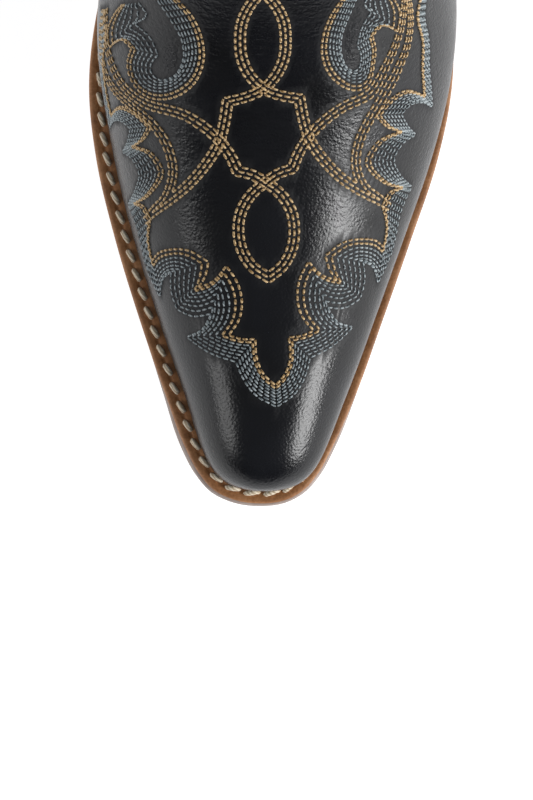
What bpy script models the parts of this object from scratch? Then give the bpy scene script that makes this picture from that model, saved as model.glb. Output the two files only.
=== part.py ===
"""Western boot, left foot, built as the separate pieces a bootmaker cuts.

World frame in metres: the toe points to -Y, +Z is up and -X is the inner
(medial) side of the foot.  Tables are in millimetres and are scaled once.
Every shell of the upper shares one grid of rows and columns, so that nested
layers stay parallel and keep an even gap.
"""

import math

import bmesh
import bpy
import numpy as np
from mathutils import Vector

MM = 0.001

# ---------------------------------------------------------------- lengthways
SOLE_LENGTH = 305.0
CENTRE_X = 1.1
CENTRE_S = 152.5

# Plan of the outsole: (across, from the toe tip), toe to heel on each side.
LATERAL_PLAN = [
    (-1.4, 0.0), (5.5, 0.9), (11.0, 4.0), (14.5, 8.0), (19.0, 16.0), (24.9, 29.0), (33.0, 51.0),
    (40.9, 73.6), (48.2, 96.0), (52.0, 116.0), (52.0, 136.0), (47.5, 160.0), (40.0, 188.0),
    (34.5, 214.0), (32.6, 238.0), (31.8, 262.0), (27.5, 285.0), (17.0, 300.0), (0.5, 305.0),
]
MEDIAL_PLAN = [
    (-8.5, 0.9), (-14.9, 4.0), (-18.4, 8.0), (-22.7, 16.0), (-27.6, 29.0), (-35.3, 51.0),
    (-42.3, 73.6), (-47.7, 96.0), (-49.8, 116.0), (-47.5, 138.0), (-40.5, 162.0), (-33.5, 188.0),
    (-30.5, 214.0), (-30.2, 238.0), (-30.2, 262.0), (-26.5, 285.0), (-16.0, 300.0),
]

# Height of the outsole's underside: toe spring, tread, waist, heel seat.
GROUND_LINE = [
    (0.0, 10.0), (20.0, 6.6), (45.0, 3.0), (70.0, 0.7), (90.0, 0.0), (115.0, 0.0), (135.0, 1.6),
    (160.0, 8.6), (185.0, 17.6), (210.0, 25.6), (235.0, 30.6), (270.0, 34.4), (305.0, 36.6),
]

# ------------------------------------------------------------ bottom stack up
GAP = 0.4
OUTSOLE_THICK = 4.8
WELT_LOW = OUTSOLE_THICK + GAP
WELT_HIGH = 8.0
UPPER_LOW = 8.8
INSOLE_LOW = 8.5
INSOLE_HIGH = 10.7
SOCK_LOW = 11.1
SOCK_HIGH = 12.3
SHANK_LOW = 5.5
SHANK_HIGH = 7.0

WELT_REACH = 5.6
TOE_REACH = 3.6
HEEL_REACH = 2.6
TOE_SPREAD = 30.0
HEEL_NARROWING = (200.0, 245.0)
WELT_WIDTH = 11.0
WELT_STATIONS = 54
RAND_WIDTH = 9.0
RAND_STATIONS = 28
CORK_INSET = 12.0
CORK_END = 146.0
CORK_STATIONS = 22
INSOLE_CLEARANCE = 7.0
SHANK_START = 150.0
SHANK_END = 252.0
SHANK_SIDES = (-6.0, 8.0)
SHANK_STATIONS = 14
# A plate's stations crowd towards its rounded ends.
END_TRIM = 0.25
END_CROWDING = 0.65

# ------------------------------------------------------------------- the foot
# Ridge of the vamp above the feather line: (from the toe tip, height).
RIDGE_LINE = [
    (0.0, 0.0), (0.4, 8.0), (2.0, 14.0), (5.4, 18.4), (14.0, 22.8), (28.0, 27.0), (48.0, 32.6),
    (72.0, 40.5), (95.0, 50.0), (115.0, 61.0), (135.0, 76.0), (152.0, 95.0), (166.0, 120.0),
    (178.0, 160.0), (190.0, 230.0), (310.0, 420.0),
]
# Back of the heel above the feather line: (height, from the toe tip).
HEEL_BACK_LINE = [(0.0, 302.4), (18.0, 304.2), (45.0, 301.5), (75.0, 296.5), (110.0, 294.5), (300.0, 300.0)]
ARCH_WIDTH_POWER = 2.3
ARCH_HEIGHT_POWER = 2.0
# How far the wall swells out over the feather line: at the ball, and at the waist.
MEDIAL_BULGES = (1.5, 7.5)
LATERAL_BULGES = (4.2, 3.0)
FRONT_BULGE_HEIGHT = 14.0
BULGE_FADE = 12.0
WAIST_BULGE_HEIGHT = 30.0
WAIST_RISE = (95.0, 150.0)
WAIST_FALL = (200.0, 250.0)
# The ridge lies to the inner side of the middle once the instep rises.
RIDGE_SHIFT = -5.0
RIDGE_SHIFT_SPAN = (25.0, 120.0)
SIDE_SEAM_LOW = 222.0
SIDE_SEAM_HIGH = 240.0
SIDE_SEAM_RISE = 100.0

# ------------------------------------------------------------------ the shaft
SHAFT_X = 1.1
# (height above the ankle's feather line, front, back, half width).
SHAFT_SECTIONS = [
    (60.0, 186.0, 296.5, 37.0), (100.0, 186.0, 295.0, 39.0), (150.0, 178.0, 298.0, 42.5),
    (210.0, 167.0, 301.0, 46.0), (260.0, 160.0, 303.0, 48.5), (310.0, 156.0, 304.0, 49.5),
]
ANKLE_FEATHER = 40.0
BLEND_LOW = 66.0
BLEND_HIGH = 135.0
FINE_LEVEL_TOP = 60.0
COARSE_LEVEL_STEP = 2.7
LEVEL_MARGIN = 6.0
TOP_LINE = 300.0
FRONT_SCALLOP = 30.0
BACK_SCALLOP = 22.0

VAMP_SIDE = 52.0
TONGUE_TIP = 122.0
COUNTER_TOP = 66.0

# ------------------------------------------------------------ leather and rows
COVER_THICK = 1.6
MIDDLE_OFFSET = -2.0
MIDDLE_THICK = 1.6
LINING_OFFSET = -4.0
LINING_THICK = 1.2
SEAM_GAP = 0.8

FOOT_ROWS = [0.0, 0.045, 0.09, 0.135, 0.18, 0.24, 0.32, 0.43, 0.57, 0.74, 0.91, 1.0]
SHAFT_ROWS = [0.16, 0.34, 0.52, 0.70, 0.86, 1.0]
LINING_SEAM_ROW = 9
SHAFT_LOW_ROW = 10
VAMP_TOP_ROW = 11
TOP_ROW = len(FOOT_ROWS) + len(SHAFT_ROWS) - 1
FRONT_COLUMNS = 20
BACK_COLUMNS = 12
TOE_CROWDING = 1.35
TOE_PUFF_ROW = 6
TOE_PUFF_SPAN = 0.34
STIFFENER_ROW = 9

# ------------------------------------------------------------------ the trim
PIPING_RADIUS = 1.1
PIPING_OFFSET = -0.5
PIPING_START = 2.5
PIPING_STRAP_GAP = 3.0
PIPING_POINTS = 18
BINDING_DROP = 6.0
BINDING_GAP = 0.9
BINDING_THICK = 0.8
STRAP_WIDTH = 36.0
STRAP_THICK = 1.4
STRAP_OUTER = 1.5
STRAP_INNER = -7.3
STRAP_LEG = 58.0
STRAP_LEG_TOP = -0.5
LOOP_START = 5.0
LOOP_SHOULDER = 17.0
LOOP_RADIUS = 6.2
LOOP_ARC_STEPS = 8
STRAP_COLUMNS = 6
STRAP_LEG_ROWS = 5
PIVOT_RISE = 1.0
THREAD_RADIUS = 0.4
THREAD_SHARE = 0.5
THREAD_POINTS = 44
THREAD_END = 227.0

# ------------------------------------------------------------------- the heel
HEEL_BREAST = 236.0
HEEL_BREAST_FOOT = 239.0
HEEL_BACK_FOOT = 293.0
HEEL_FOOT_WIDTH = 0.87
HEEL_INSET = 0.8
HEEL_END_TRIM = 0.3
HEEL_STATIONS = 16
CAP_THICK = 6.0
LIFT_COUNT = 4
NAIL_COUNT = 5
NAIL_RADIUS = 0.9
NAIL_CLEARANCE = 0.4
NAIL_LENGTH = 9.5
NAIL_LOW = 0.3
NAIL_HOLE_LOW = -1.0
NAIL_CENTRE_X = 0.7
NAIL_CIRCLE = 15.0
NAIL_CENTRE = 268.0
NAIL_SPAN = 150.0

WELT_END = 231.0
RAND_START = 233.0

COLLECTION = "cowboy_boot"
CUTTERS = "cutters"


# ------------------------------------------------------------ smooth curves
def smooth(table, value):
    """Cubic Hermite curve through a table of (place, height) pairs."""
    places, heights = np.array(table, dtype=float).T
    slopes = np.gradient(heights, places)
    value = np.clip(value, places[0], places[-1])
    low = np.clip(np.searchsorted(places, value) - 1, 0, len(places) - 2)
    step = places[low + 1] - places[low]
    f = (value - places[low]) / step
    rise = (1 + 2 * f) * (1 - f) ** 2 * heights[low] + f * f * (3 - 2 * f) * heights[low + 1]
    lean = f * (1 - f) ** 2 * slopes[low] - f * f * (1 - f) * slopes[low + 1]
    return rise + lean * step


def smoothstep(low, high, value):
    f = np.clip((value - low) / (high - low), 0.0, 1.0)
    return f * f * (3 - 2 * f)


def resample(points, lengths):
    """Points at the given distances along a polyline."""
    steps = np.linalg.norm(np.diff(points, axis=0), axis=1)
    walked = np.concatenate([[0.0], np.cumsum(steps)])
    return np.array([np.interp(lengths, walked, axis) for axis in points.T]).T


def polyline_length(points):
    return float(np.linalg.norm(np.diff(points, axis=0), axis=1).sum())


def to_world(points):
    """(across, from the toe, up) in millimetres to world metres."""
    points = np.asarray(points, dtype=float)
    return (points - np.array([CENTRE_X, CENTRE_S, 0.0])) * MM


# --------------------------------------------------------------- plan outline
def closed_plan():
    """Dense closed outline of the outsole, from the toe tip round the lateral side."""
    corners = np.array(LATERAL_PLAN + MEDIAL_PLAN[::-1])
    wrapped = np.vstack([corners[-4:], corners, corners[:5]])
    steps = np.linalg.norm(np.diff(wrapped, axis=0), axis=1)
    walked = np.concatenate([[0.0], np.cumsum(steps)])
    start, end = walked[4], walked[4 + len(corners)]
    dense = np.linspace(start, end, 800, endpoint=False)
    across = smooth(np.column_stack([walked, wrapped[:, 0]]), dense)
    along = smooth(np.column_stack([walked, wrapped[:, 1]]), dense)
    return np.column_stack([across, along])


PLAN = closed_plan()


def inset_plan(inset):
    """The outline moved inward by inset, a number or a function of length."""
    tangent = np.roll(PLAN, -1, axis=0) - np.roll(PLAN, 1, axis=0)
    normal = np.column_stack([-tangent[:, 1], tangent[:, 0]])
    normal /= np.linalg.norm(normal, axis=1)[:, None]
    reach = inset(PLAN[:, 1]) if callable(inset) else np.full(len(PLAN), float(inset))
    return PLAN + normal * reach[:, None]


def feather_inset(along):
    """Distance from the outsole's edge to the upper's lower edge."""
    toe = (TOE_REACH - WELT_REACH) * (1.0 - smoothstep(0.0, TOE_SPREAD, along))
    return WELT_REACH + toe + (HEEL_REACH - WELT_REACH) * smoothstep(*HEEL_NARROWING, along)


class Edges:
    """Medial and lateral edge of an inset outline, as functions of length."""

    def __init__(self, inset):
        loop = inset_plan(inset)
        toe = int(np.argmin(loop[:, 1]))
        loop = np.roll(loop, -toe, axis=0)
        heel = int(np.argmax(loop[:, 1]))
        lateral = loop[: heel + 1]
        medial = np.vstack([loop[heel:], loop[:1]])[::-1]
        self.start = float(loop[0, 1])
        self.end = float(loop[heel, 1])
        self.lateral_side = lateral[np.argsort(lateral[:, 1])]
        self.medial_side = medial[np.argsort(medial[:, 1])]

    def lateral(self, along):
        return np.interp(along, self.lateral_side[:, 1], self.lateral_side[:, 0])

    def medial(self, along):
        return np.interp(along, self.medial_side[:, 1], self.medial_side[:, 0])


FEATHER = Edges(feather_inset)
ridge_places = np.linspace(0.0, 305.0, 3000)
ridge_heights = smooth(RIDGE_LINE, ridge_places)


def ground(along):
    """Height of the outsole's underside, which never dips below the floor."""
    return np.maximum(smooth(GROUND_LINE, along), 0.0)


# ------------------------------------------------------- the upper's surface
def foot_half_slice(height, side, panel, count=90):
    """One side of the foot's slice at a height above the feather line."""
    seam = SIDE_SEAM_LOW + (SIDE_SEAM_HIGH - SIDE_SEAM_LOW) * min(height / SIDE_SEAM_RISE, 1.0)
    f = np.linspace(0.0, 1.0, count) ** 2
    if panel == "front":
        start = FEATHER.start + np.interp(height, ridge_heights, ridge_places)
        along = start + (seam - start) * f
    else:
        along = FEATHER.end - (FEATHER.end - seam) * f
    edge = FEATHER.lateral(along) if side > 0 else FEATHER.medial(along)
    centre = 0.5 * (FEATHER.lateral(along) + FEATHER.medial(along))
    ridge = np.interp(along - FEATHER.start, ridge_places, ridge_heights)
    fall = np.clip(height / np.maximum(ridge, 1e-6), 0.0, 1.0)
    arch = (1.0 - fall ** ARCH_HEIGHT_POWER) ** (1.0 / ARCH_WIDTH_POWER)
    waist = smoothstep(*WAIST_RISE, along) * (1.0 - smoothstep(*WAIST_FALL, along))
    front_bulge, waist_bulge = LATERAL_BULGES if side > 0 else MEDIAL_BULGES
    bulge = front_bulge * bump(height / FRONT_BULGE_HEIGHT)
    bulge = bulge + waist_bulge * waist * bump(height / WAIST_BULGE_HEIGHT)
    width = np.abs(edge - centre)
    ridge_centre = centre + RIDGE_SHIFT * smoothstep(*RIDGE_SHIFT_SPAN, along) * fall ** 2
    across = ridge_centre + side * (width + bulge * smoothstep(0.0, BULGE_FADE, width)) * arch
    if panel == "back":
        back = smooth(HEEL_BACK_LINE, height)
        along = seam + (along - seam) * (back - seam) / (FEATHER.end - seam)
    up = ground(along) + UPPER_LOW + height
    return np.column_stack([across, along, up])


def bump(value):
    return value * np.exp(1.0 - value)


def shaft_at(height):
    """Front, back and half width of the shaft at a height above the ankle's feather line."""
    table = np.array(SHAFT_SECTIONS)
    return [float(smooth(table[:, [0, i]], height)) for i in (1, 2, 3)]


def shaft_half_slice(height, side, panel, count=60):
    front, back, half_width = shaft_at(height)
    middle = 0.5 * (front + back)
    angle = np.linspace(0.0, math.pi / 2, count)
    reach = middle - front if panel == "front" else back - middle
    sign = -1.0 if panel == "front" else 1.0
    along = middle + sign * reach * np.cos(angle)
    across = SHAFT_X + side * half_width * np.sin(angle)
    return np.column_stack([across, along, np.full(count, ANKLE_FEATHER + height)])


def half_columns(points, fractions, crowding):
    """Sample one side by distance, stopping half a seam gap short of the side seam."""
    length = polyline_length(points) - 0.5 * SEAM_GAP
    return resample(points, length * fractions ** crowding)


def surface_slice(height, panel, fractions):
    """Points of one level, from the medial seam through the centre to the lateral seam."""
    weight = float(smoothstep(BLEND_LOW, BLEND_HIGH, height))
    crowding = TOE_CROWDING + (1.0 - TOE_CROWDING) * min(height / BLEND_LOW, 1.0)
    if panel == "back":
        crowding = 1.0
    halves = []
    for side in (-1, 1):
        points = np.zeros((len(fractions), 3))
        if weight < 1.0:
            foot = half_columns(foot_half_slice(height, side, panel), fractions, crowding)
            points += (1.0 - weight) * foot
        if weight > 0.0:
            shaft = half_columns(shaft_half_slice(height, side, panel), fractions, crowding)
            points += weight * shaft
        halves.append(points)
    return np.vstack([halves[0][:0:-1], halves[1]])


def seam_height(panel, place):
    """Height of the vamp's or the counter's upper edge; place is 0 in the centre, 1 at the side."""
    rise = np.cos(0.5 * math.pi * place) ** 2
    top = TONGUE_TIP if panel == "front" else COUNTER_TOP
    return VAMP_SIDE + (top - VAMP_SIDE) * rise


def top_height(panel, place):
    dip = FRONT_SCALLOP if panel == "front" else BACK_SCALLOP
    return TOP_LINE - dip * (1.0 - np.sin(0.5 * math.pi * place))


def panel_grid(panel):
    """Rows by columns of points, and their outward normals."""
    columns = (FRONT_COLUMNS if panel == "front" else BACK_COLUMNS) // 2
    fractions = np.linspace(0.0, 1.0, columns + 1)
    places = np.concatenate([fractions[:0:-1], fractions])
    fine = np.arange(0.0, FINE_LEVEL_TOP, 1.0)
    coarse = np.arange(FINE_LEVEL_TOP, TOP_LINE + LEVEL_MARGIN, COARSE_LEVEL_STEP)
    levels = np.concatenate([fine, coarse])
    stack = np.array([surface_slice(level, panel, fractions) for level in levels])
    seam = seam_height(panel, places)
    top = top_height(panel, places)
    heights = [seam * share for share in FOOT_ROWS]
    heights += [seam + (top - seam) * share for share in SHAFT_ROWS]
    heights = np.array(heights)
    grid = np.zeros(heights.shape + (3,))
    for column in range(len(places)):
        for axis in range(3):
            grid[:, column, axis] = np.interp(heights[:, column], levels, stack[:, column, axis])
    across = np.gradient(grid, axis=1)
    upward = np.gradient(grid, axis=0)
    normals = np.cross(across, upward)
    normals /= np.linalg.norm(normals, axis=2)[:, :, None]
    if panel == "back":
        normals = -normals
    return grid, normals


GRIDS = {panel: panel_grid(panel) for panel in ("front", "back")}


# ------------------------------------------------------------ object helpers
def collection(name):
    group = bpy.data.collections.new(name)
    bpy.context.scene.collection.children.link(group)
    return group


def material(name, colour, roughness, metallic=0.0):
    finish = bpy.data.materials.get(name) or bpy.data.materials.new(name)
    finish.use_nodes = True
    shader = finish.node_tree.nodes["Principled BSDF"]
    shader.inputs["Base Color"].default_value = (*colour, 1.0)
    shader.inputs["Roughness"].default_value = roughness
    shader.inputs["Metallic"].default_value = metallic
    return finish


MATERIALS = {
    "black_leather": ((0.012, 0.012, 0.014), 0.38, 0.0),
    "lining_leather": ((0.42, 0.27, 0.15), 0.6, 0.0),
    "tan_leather": ((0.36, 0.16, 0.06), 0.55, 0.0),
    "board": ((0.45, 0.33, 0.2), 0.8, 0.0),
    "cork": ((0.36, 0.22, 0.1), 0.9, 0.0),
    "rubber": ((0.02, 0.02, 0.02), 0.75, 0.0),
    "steel": ((0.5, 0.5, 0.52), 0.35, 1.0),
    "brass": ((0.7, 0.5, 0.2), 0.35, 1.0),
    "cream_thread": ((0.7, 0.6, 0.42), 0.7, 0.0),
}


def add_object(name, data, finish):
    piece = bpy.data.objects.new(name, data)
    data.materials.append(material(finish, *MATERIALS[finish]))
    bpy.data.collections[COLLECTION].objects.link(piece)
    return piece


def mesh_object(name, points, faces, finish, smooth_angle=35.0):
    mesh = bpy.data.meshes.new(name)
    mesh.from_pydata([tuple(p) for p in to_world(points)], [], faces)
    mesh.update()
    mesh.shade_smooth()
    mesh.set_sharp_from_angle(angle=math.radians(smooth_angle))
    return add_object(name, mesh, finish)


def grid_faces(rows, columns, flip=False):
    """Triangles of a grid, with the same diagonal in every cell."""
    faces = []
    for r in range(rows - 1):
        for c in range(columns - 1):
            a = r * columns + c
            b, d, e = a + 1, a + columns, a + columns + 1
            cell = [(a, b, e), (a, e, d)]
            faces += [face[::-1] for face in cell] if flip else cell
    return faces


def solidify(piece, thickness):
    shell = piece.modifiers.new("thickness", "SOLIDIFY")
    shell.thickness = thickness * MM
    shell.offset = -1.0
    return piece


def shell(name, panel, rows, offset, thickness, finish, columns=None, lower_trim=0.0):
    """A leather shell over rows[0]..rows[1] of a panel, its outer face at the offset."""
    grid, normals = GRIDS[panel]
    first, last = rows
    keep = columns or (0, grid.shape[1] - 1)
    points = grid[first:last + 1, keep[0]:keep[1] + 1].copy()
    outward = normals[first:last + 1, keep[0]:keep[1] + 1]
    if lower_trim:
        step = points[1] - points[0]
        points[0] += step / np.linalg.norm(step, axis=1)[:, None] * lower_trim
    points = points + outward * offset
    shape = points.shape
    faces = grid_faces(shape[0], shape[1], flip=panel == "back")
    piece = mesh_object(name, points.reshape(-1, 3), faces, finish)
    return solidify(piece, thickness)


def slab(name, low_left, low_right, high_left, high_right, finish):
    """A solid between two ribbons, each given by its left and right edge."""
    count = len(low_left)
    points = np.vstack([low_left, low_right, high_left, high_right])
    rails = [range(i * count, (i + 1) * count) for i in range(4)]
    ring = [rails[0], rails[1], rails[3], rails[2]]
    faces = [tuple(rail[i] for rail in ring) for i in (0, count - 1)]
    for a, b in zip(ring, ring[1:] + ring[:1]):
        faces += [(a[i], a[i + 1], b[i + 1], b[i]) for i in range(count - 1)]
    piece = mesh_object(name, points, faces, finish)
    form = bmesh.new()
    form.from_mesh(piece.data)
    bmesh.ops.recalc_face_normals(form, faces=form.faces)
    form.to_mesh(piece.data)
    form.free()
    return piece


def lift(plan_points, height_above_ground):
    """Plan points (across, along) raised above the outsole's underside."""
    plan_points = np.asarray(plan_points, dtype=float)
    return np.column_stack([plan_points, ground(plan_points[:, 1]) + height_above_ground])


def sole_layer(name, inset, start, end, low, high, finish, count=32):
    """A plate that follows the sole's profile between two distances from the toe."""
    edges = Edges(inset)
    start = max(start, edges.start + END_TRIM)
    end = min(end, edges.end - END_TRIM)
    turn = 0.5 * (1.0 - np.cos(np.linspace(0.0, math.pi, count)))
    even = np.linspace(0.0, 1.0, count)
    along = start + (end - start) * (END_CROWDING * turn + (1.0 - END_CROWDING) * even)
    medial = np.column_stack([edges.medial(along), along])
    lateral = np.column_stack([edges.lateral(along), along])
    return slab(name, lift(medial, low), lift(lateral, low), lift(medial, high), lift(lateral, high), finish)


def band(name, outer_inset, inner_inset, keep, low, high, finish, count):
    """A strip that follows the edge of the sole wherever keep is true."""
    outer, inner = inset_plan(outer_inset), inset_plan(inner_inset)
    chosen = keep(PLAN[:, 1])
    first = int(np.argmax(chosen & ~np.roll(chosen, 1)))
    order = np.roll(np.arange(len(PLAN)), -first)
    order = order[chosen[order]]
    picks = order[np.linspace(0, len(order) - 1, count).round().astype(int)]
    outer, inner = outer[picks], inner[picks]
    return slab(name, lift(outer, low), lift(inner, low), lift(outer, high), lift(inner, high), finish)


def tube(name, points, radius, finish):
    """A round cord through the points, with closed ends."""
    curve = bpy.data.curves.new(name, "CURVE")
    curve.dimensions = "3D"
    curve.bevel_depth = radius * MM
    curve.bevel_resolution = 2
    curve.use_fill_caps = True
    spline = curve.splines.new("POLY")
    spline.points.add(len(points) - 1)
    for point, place in zip(spline.points, to_world(points)):
        point.co = (*place, 1.0)
    return add_object(name, curve, finish)


# --------------------------------------------------------------- the pieces
def make_covers():
    shell("vamp", "front", (0, VAMP_TOP_ROW), 0.0, COVER_THICK, "black_leather")
    shell("counter_cover", "back", (0, VAMP_TOP_ROW), 0.0, COVER_THICK, "black_leather")
    shell("shaft_front", "front", (SHAFT_LOW_ROW, TOP_ROW), MIDDLE_OFFSET, MIDDLE_THICK, "black_leather")
    shell("shaft_back", "back", (SHAFT_LOW_ROW, TOP_ROW), MIDDLE_OFFSET, MIDDLE_THICK, "black_leather")


def make_stiffeners():
    half = FRONT_COLUMNS // 2
    reach = round(half * TOE_PUFF_SPAN)
    span = (half - reach, half + reach)
    shell("toe_puff", "front", (0, TOE_PUFF_ROW), MIDDLE_OFFSET, MIDDLE_THICK, "board", span)
    shell("counter_stiffener", "back", (0, STIFFENER_ROW), MIDDLE_OFFSET, MIDDLE_THICK, "board")


def make_linings():
    low, high = (0, LINING_SEAM_ROW), (LINING_SEAM_ROW, TOP_ROW)
    for panel, foot_name in (("front", "vamp_lining"), ("back", "heel_lining")):
        shell(foot_name, panel, low, LINING_OFFSET, LINING_THICK, "lining_leather")
        upper = f"shaft_lining_{panel}"
        shell(upper, panel, high, LINING_OFFSET, LINING_THICK, "lining_leather", lower_trim=SEAM_GAP)


def make_piping():
    """A leather cord in each side seam, from the vamp's edge up to the pull strap."""
    grid, normals = GRIDS["front"]
    strap_foot = ANKLE_FEATHER + TOP_LINE - STRAP_LEG
    for side, column in (("medial", 0), ("lateral", -1)):
        line = grid[VAMP_TOP_ROW:, column] + normals[VAMP_TOP_ROW:, column] * PIPING_OFFSET
        fine = resample(line, np.linspace(PIPING_START, polyline_length(line), PIPING_POINTS))
        fine = fine[fine[:, 2] < strap_foot - PIPING_STRAP_GAP]
        tube(f"side_piping_{side}", fine, PIPING_RADIUS, "black_leather")


def make_binding():
    """A folded strip over the top line: eight corners swept round the shaft."""
    inner = LINING_OFFSET - LINING_THICK - BINDING_GAP
    outer = MIDDLE_OFFSET + BINDING_GAP
    top = GAP + BINDING_THICK
    section = [
        (outer + BINDING_THICK, -BINDING_DROP), (outer + BINDING_THICK, top),
        (inner - BINDING_THICK, top), (inner - BINDING_THICK, -BINDING_DROP),
        (inner, -BINDING_DROP), (inner, GAP), (outer, GAP), (outer, -BINDING_DROP),
    ]
    front, back = GRIDS["front"], GRIDS["back"]
    path = np.vstack([front[0][-1], back[0][-1][::-1][1:-1]])
    outward = np.vstack([front[1][-1], back[1][-1][::-1][1:-1]])
    points = [p + n * offset + np.array([0.0, 0.0, rise]) for p, n in zip(path, outward)
              for offset, rise in section]
    corners, stations = len(section), len(path)
    faces = []
    for i in range(stations):
        after = (i + 1) % stations
        for k in range(corners):
            m = (k + 1) % corners
            faces.append((i * corners + k, after * corners + k, after * corners + m, i * corners + m))
    piece = mesh_object("top_binding", points, faces, "black_leather")
    form = bmesh.new()
    form.from_mesh(piece.data)
    bmesh.ops.recalc_face_normals(form, faces=form.faces)
    form.to_mesh(piece.data)
    form.free()


def strap_point(side, across_strap, offset, height):
    """A point over the side seam: offset from the shaft's surface, height from its top line."""
    front, back, half_width = shaft_at(TOP_LINE + min(height, 0.0))
    reach = 0.5 * (back - front)
    drop = math.sqrt(1.0 - (across_strap / reach) ** 2)
    return (SHAFT_X + side * (half_width * drop + offset), 0.5 * (front + back) + across_strap,
            ANKLE_FEATHER + TOP_LINE + height)


def strap_shell(name, side, path):
    """A strip of strap along (offset, height) pairs."""
    places = np.linspace(-0.5, 0.5, STRAP_COLUMNS + 1) * STRAP_WIDTH
    points = [strap_point(side, place, offset, height) for offset, height in path for place in places]
    faces = grid_faces(len(path), len(places), flip=side < 0)
    return solidify(mesh_object(name, points, faces, "black_leather"), STRAP_THICK)


def loop_path():
    """The free loop in section: up the outside, round the top and down the inside."""
    middle = 0.5 * (STRAP_OUTER + STRAP_INNER - STRAP_THICK)
    outside, inside = middle + LOOP_RADIUS, middle - LOOP_RADIUS
    path = [(STRAP_OUTER, LOOP_START), (outside, LOOP_SHOULDER)]
    for step in range(1, LOOP_ARC_STEPS):
        angle = math.pi * step / LOOP_ARC_STEPS
        path.append((middle + LOOP_RADIUS * math.cos(angle), LOOP_SHOULDER + LOOP_RADIUS * math.sin(angle)))
    path += [(inside, LOOP_SHOULDER), (STRAP_INNER - STRAP_THICK, LOOP_START)]
    return path


def make_straps():
    heights = np.linspace(-STRAP_LEG, STRAP_LEG_TOP, STRAP_LEG_ROWS)
    pivot_offset = 0.5 * (STRAP_OUTER + STRAP_INNER - STRAP_THICK)
    for name, side in (("medial", -1), ("lateral", 1)):
        outer = [(STRAP_OUTER, h) for h in heights]
        inner = [(STRAP_INNER, h) for h in heights]
        strap_shell(f"{name}_strap_outer_leg", side, outer)
        strap_shell(f"{name}_strap_inner_leg", side, inner)
        pivot = bpy.data.objects.new(f"{name}_strap_pivot", None)
        place = to_world([strap_point(side, 0.0, pivot_offset, PIVOT_RISE)])[0]
        pivot.location = place
        bpy.data.collections[COLLECTION].objects.link(pivot)
        loop = strap_shell(f"{name}_strap_loop", side, loop_path())
        loop.parent = pivot
        loop.matrix_parent_inverse.translation = -Vector(place)


def make_bottom():
    whole = (0.0, SOLE_LENGTH)
    sole_layer("outsole", 0.0, *whole, 0.0, OUTSOLE_THICK, "tan_leather")
    band("welt", 0.0, WELT_WIDTH, lambda s: s < WELT_END, WELT_LOW, WELT_HIGH, "tan_leather", WELT_STATIONS)
    band("heel_rand", 0.0, RAND_WIDTH, lambda s: s > RAND_START, WELT_LOW, WELT_HIGH, "tan_leather",
         RAND_STATIONS)
    sole_layer("cork_filler", CORK_INSET, 0.0, CORK_END, WELT_LOW, WELT_HIGH, "cork", CORK_STATIONS)
    shank_rows = np.linspace(SHANK_START, SHANK_END, SHANK_STATIONS)
    sides = [np.column_stack([np.full(SHANK_STATIONS, x), shank_rows]) for x in SHANK_SIDES]
    slab("shank", *[lift(side, SHANK_LOW) for side in sides], *[lift(side, SHANK_HIGH) for side in sides],
         "steel")

    def inner_inset(along):
        return feather_inset(along) + INSOLE_CLEARANCE

    sole_layer("insole", inner_inset, *whole, INSOLE_LOW, INSOLE_HIGH, "board")
    sole_layer("sock_liner", inner_inset, *whole, SOCK_LOW, SOCK_HIGH, "lining_leather")


def make_welt_thread():
    """The lockstitch on the welt, as one cord laid halfway between its edge and the upper."""
    line = inset_plan(lambda along: THREAD_SHARE * feather_inset(along))
    chosen = PLAN[:, 1] < THREAD_END
    first = int(np.argmax(chosen & ~np.roll(chosen, 1)))
    order = np.roll(np.arange(len(PLAN)), -first)
    line = line[order[chosen[order]]]
    line = resample(line, np.linspace(0.0, polyline_length(line), THREAD_POINTS))
    tube("welt_thread", lift(line, WELT_HIGH + GAP + THREAD_RADIUS), THREAD_RADIUS, "cream_thread")


# ------------------------------------------------------------------ the heel
def heel_edges(edges, stations, height):
    """Medial and lateral edge of the heel at a height, given for each station."""
    seat = ground(stations) - GAP
    rise = height / seat
    share = (stations - HEEL_BREAST) / (edges.end - HEEL_BREAST)
    breast = HEEL_BREAST_FOOT + (HEEL_BREAST - HEEL_BREAST_FOOT) * rise
    back = HEEL_BACK_FOOT + (edges.end - HEEL_END_TRIM - HEEL_BACK_FOOT) * rise
    along = breast + (back - breast) * share
    width = HEEL_FOOT_WIDTH + (1.0 - HEEL_FOOT_WIDTH) * rise
    medial = np.column_stack([edges.medial(stations) * width, along, height])
    lateral = np.column_stack([edges.lateral(stations) * width, along, height])
    return medial, lateral


def heel_slab(name, edges, stations, low, high, finish):
    low_medial, low_lateral = heel_edges(edges, stations, low)
    high_medial, high_lateral = heel_edges(edges, stations, high)
    return slab(name, low_medial, low_lateral, high_medial, high_lateral, finish)


def cylinder(name, radius, low, high, across, along, finish=None):
    form = bmesh.new()
    bmesh.ops.create_cone(form, cap_ends=True, segments=10, radius1=radius * MM, radius2=radius * MM,
                          depth=(high - low) * MM)
    mesh = bpy.data.meshes.new(name)
    form.to_mesh(mesh)
    form.free()
    if finish:
        piece = add_object(name, mesh, finish)
    else:
        piece = bpy.data.objects.new(name, mesh)
        piece.hide_render = True
        piece.display_type = "WIRE"
        bpy.data.collections[CUTTERS].objects.link(piece)
    piece.location = to_world([(across, along, 0.5 * (low + high))])[0]
    return piece


def cut(piece, cutter):
    step = piece.modifiers.new(cutter.name, "BOOLEAN")
    step.operation = "DIFFERENCE"
    step.object = cutter


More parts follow.
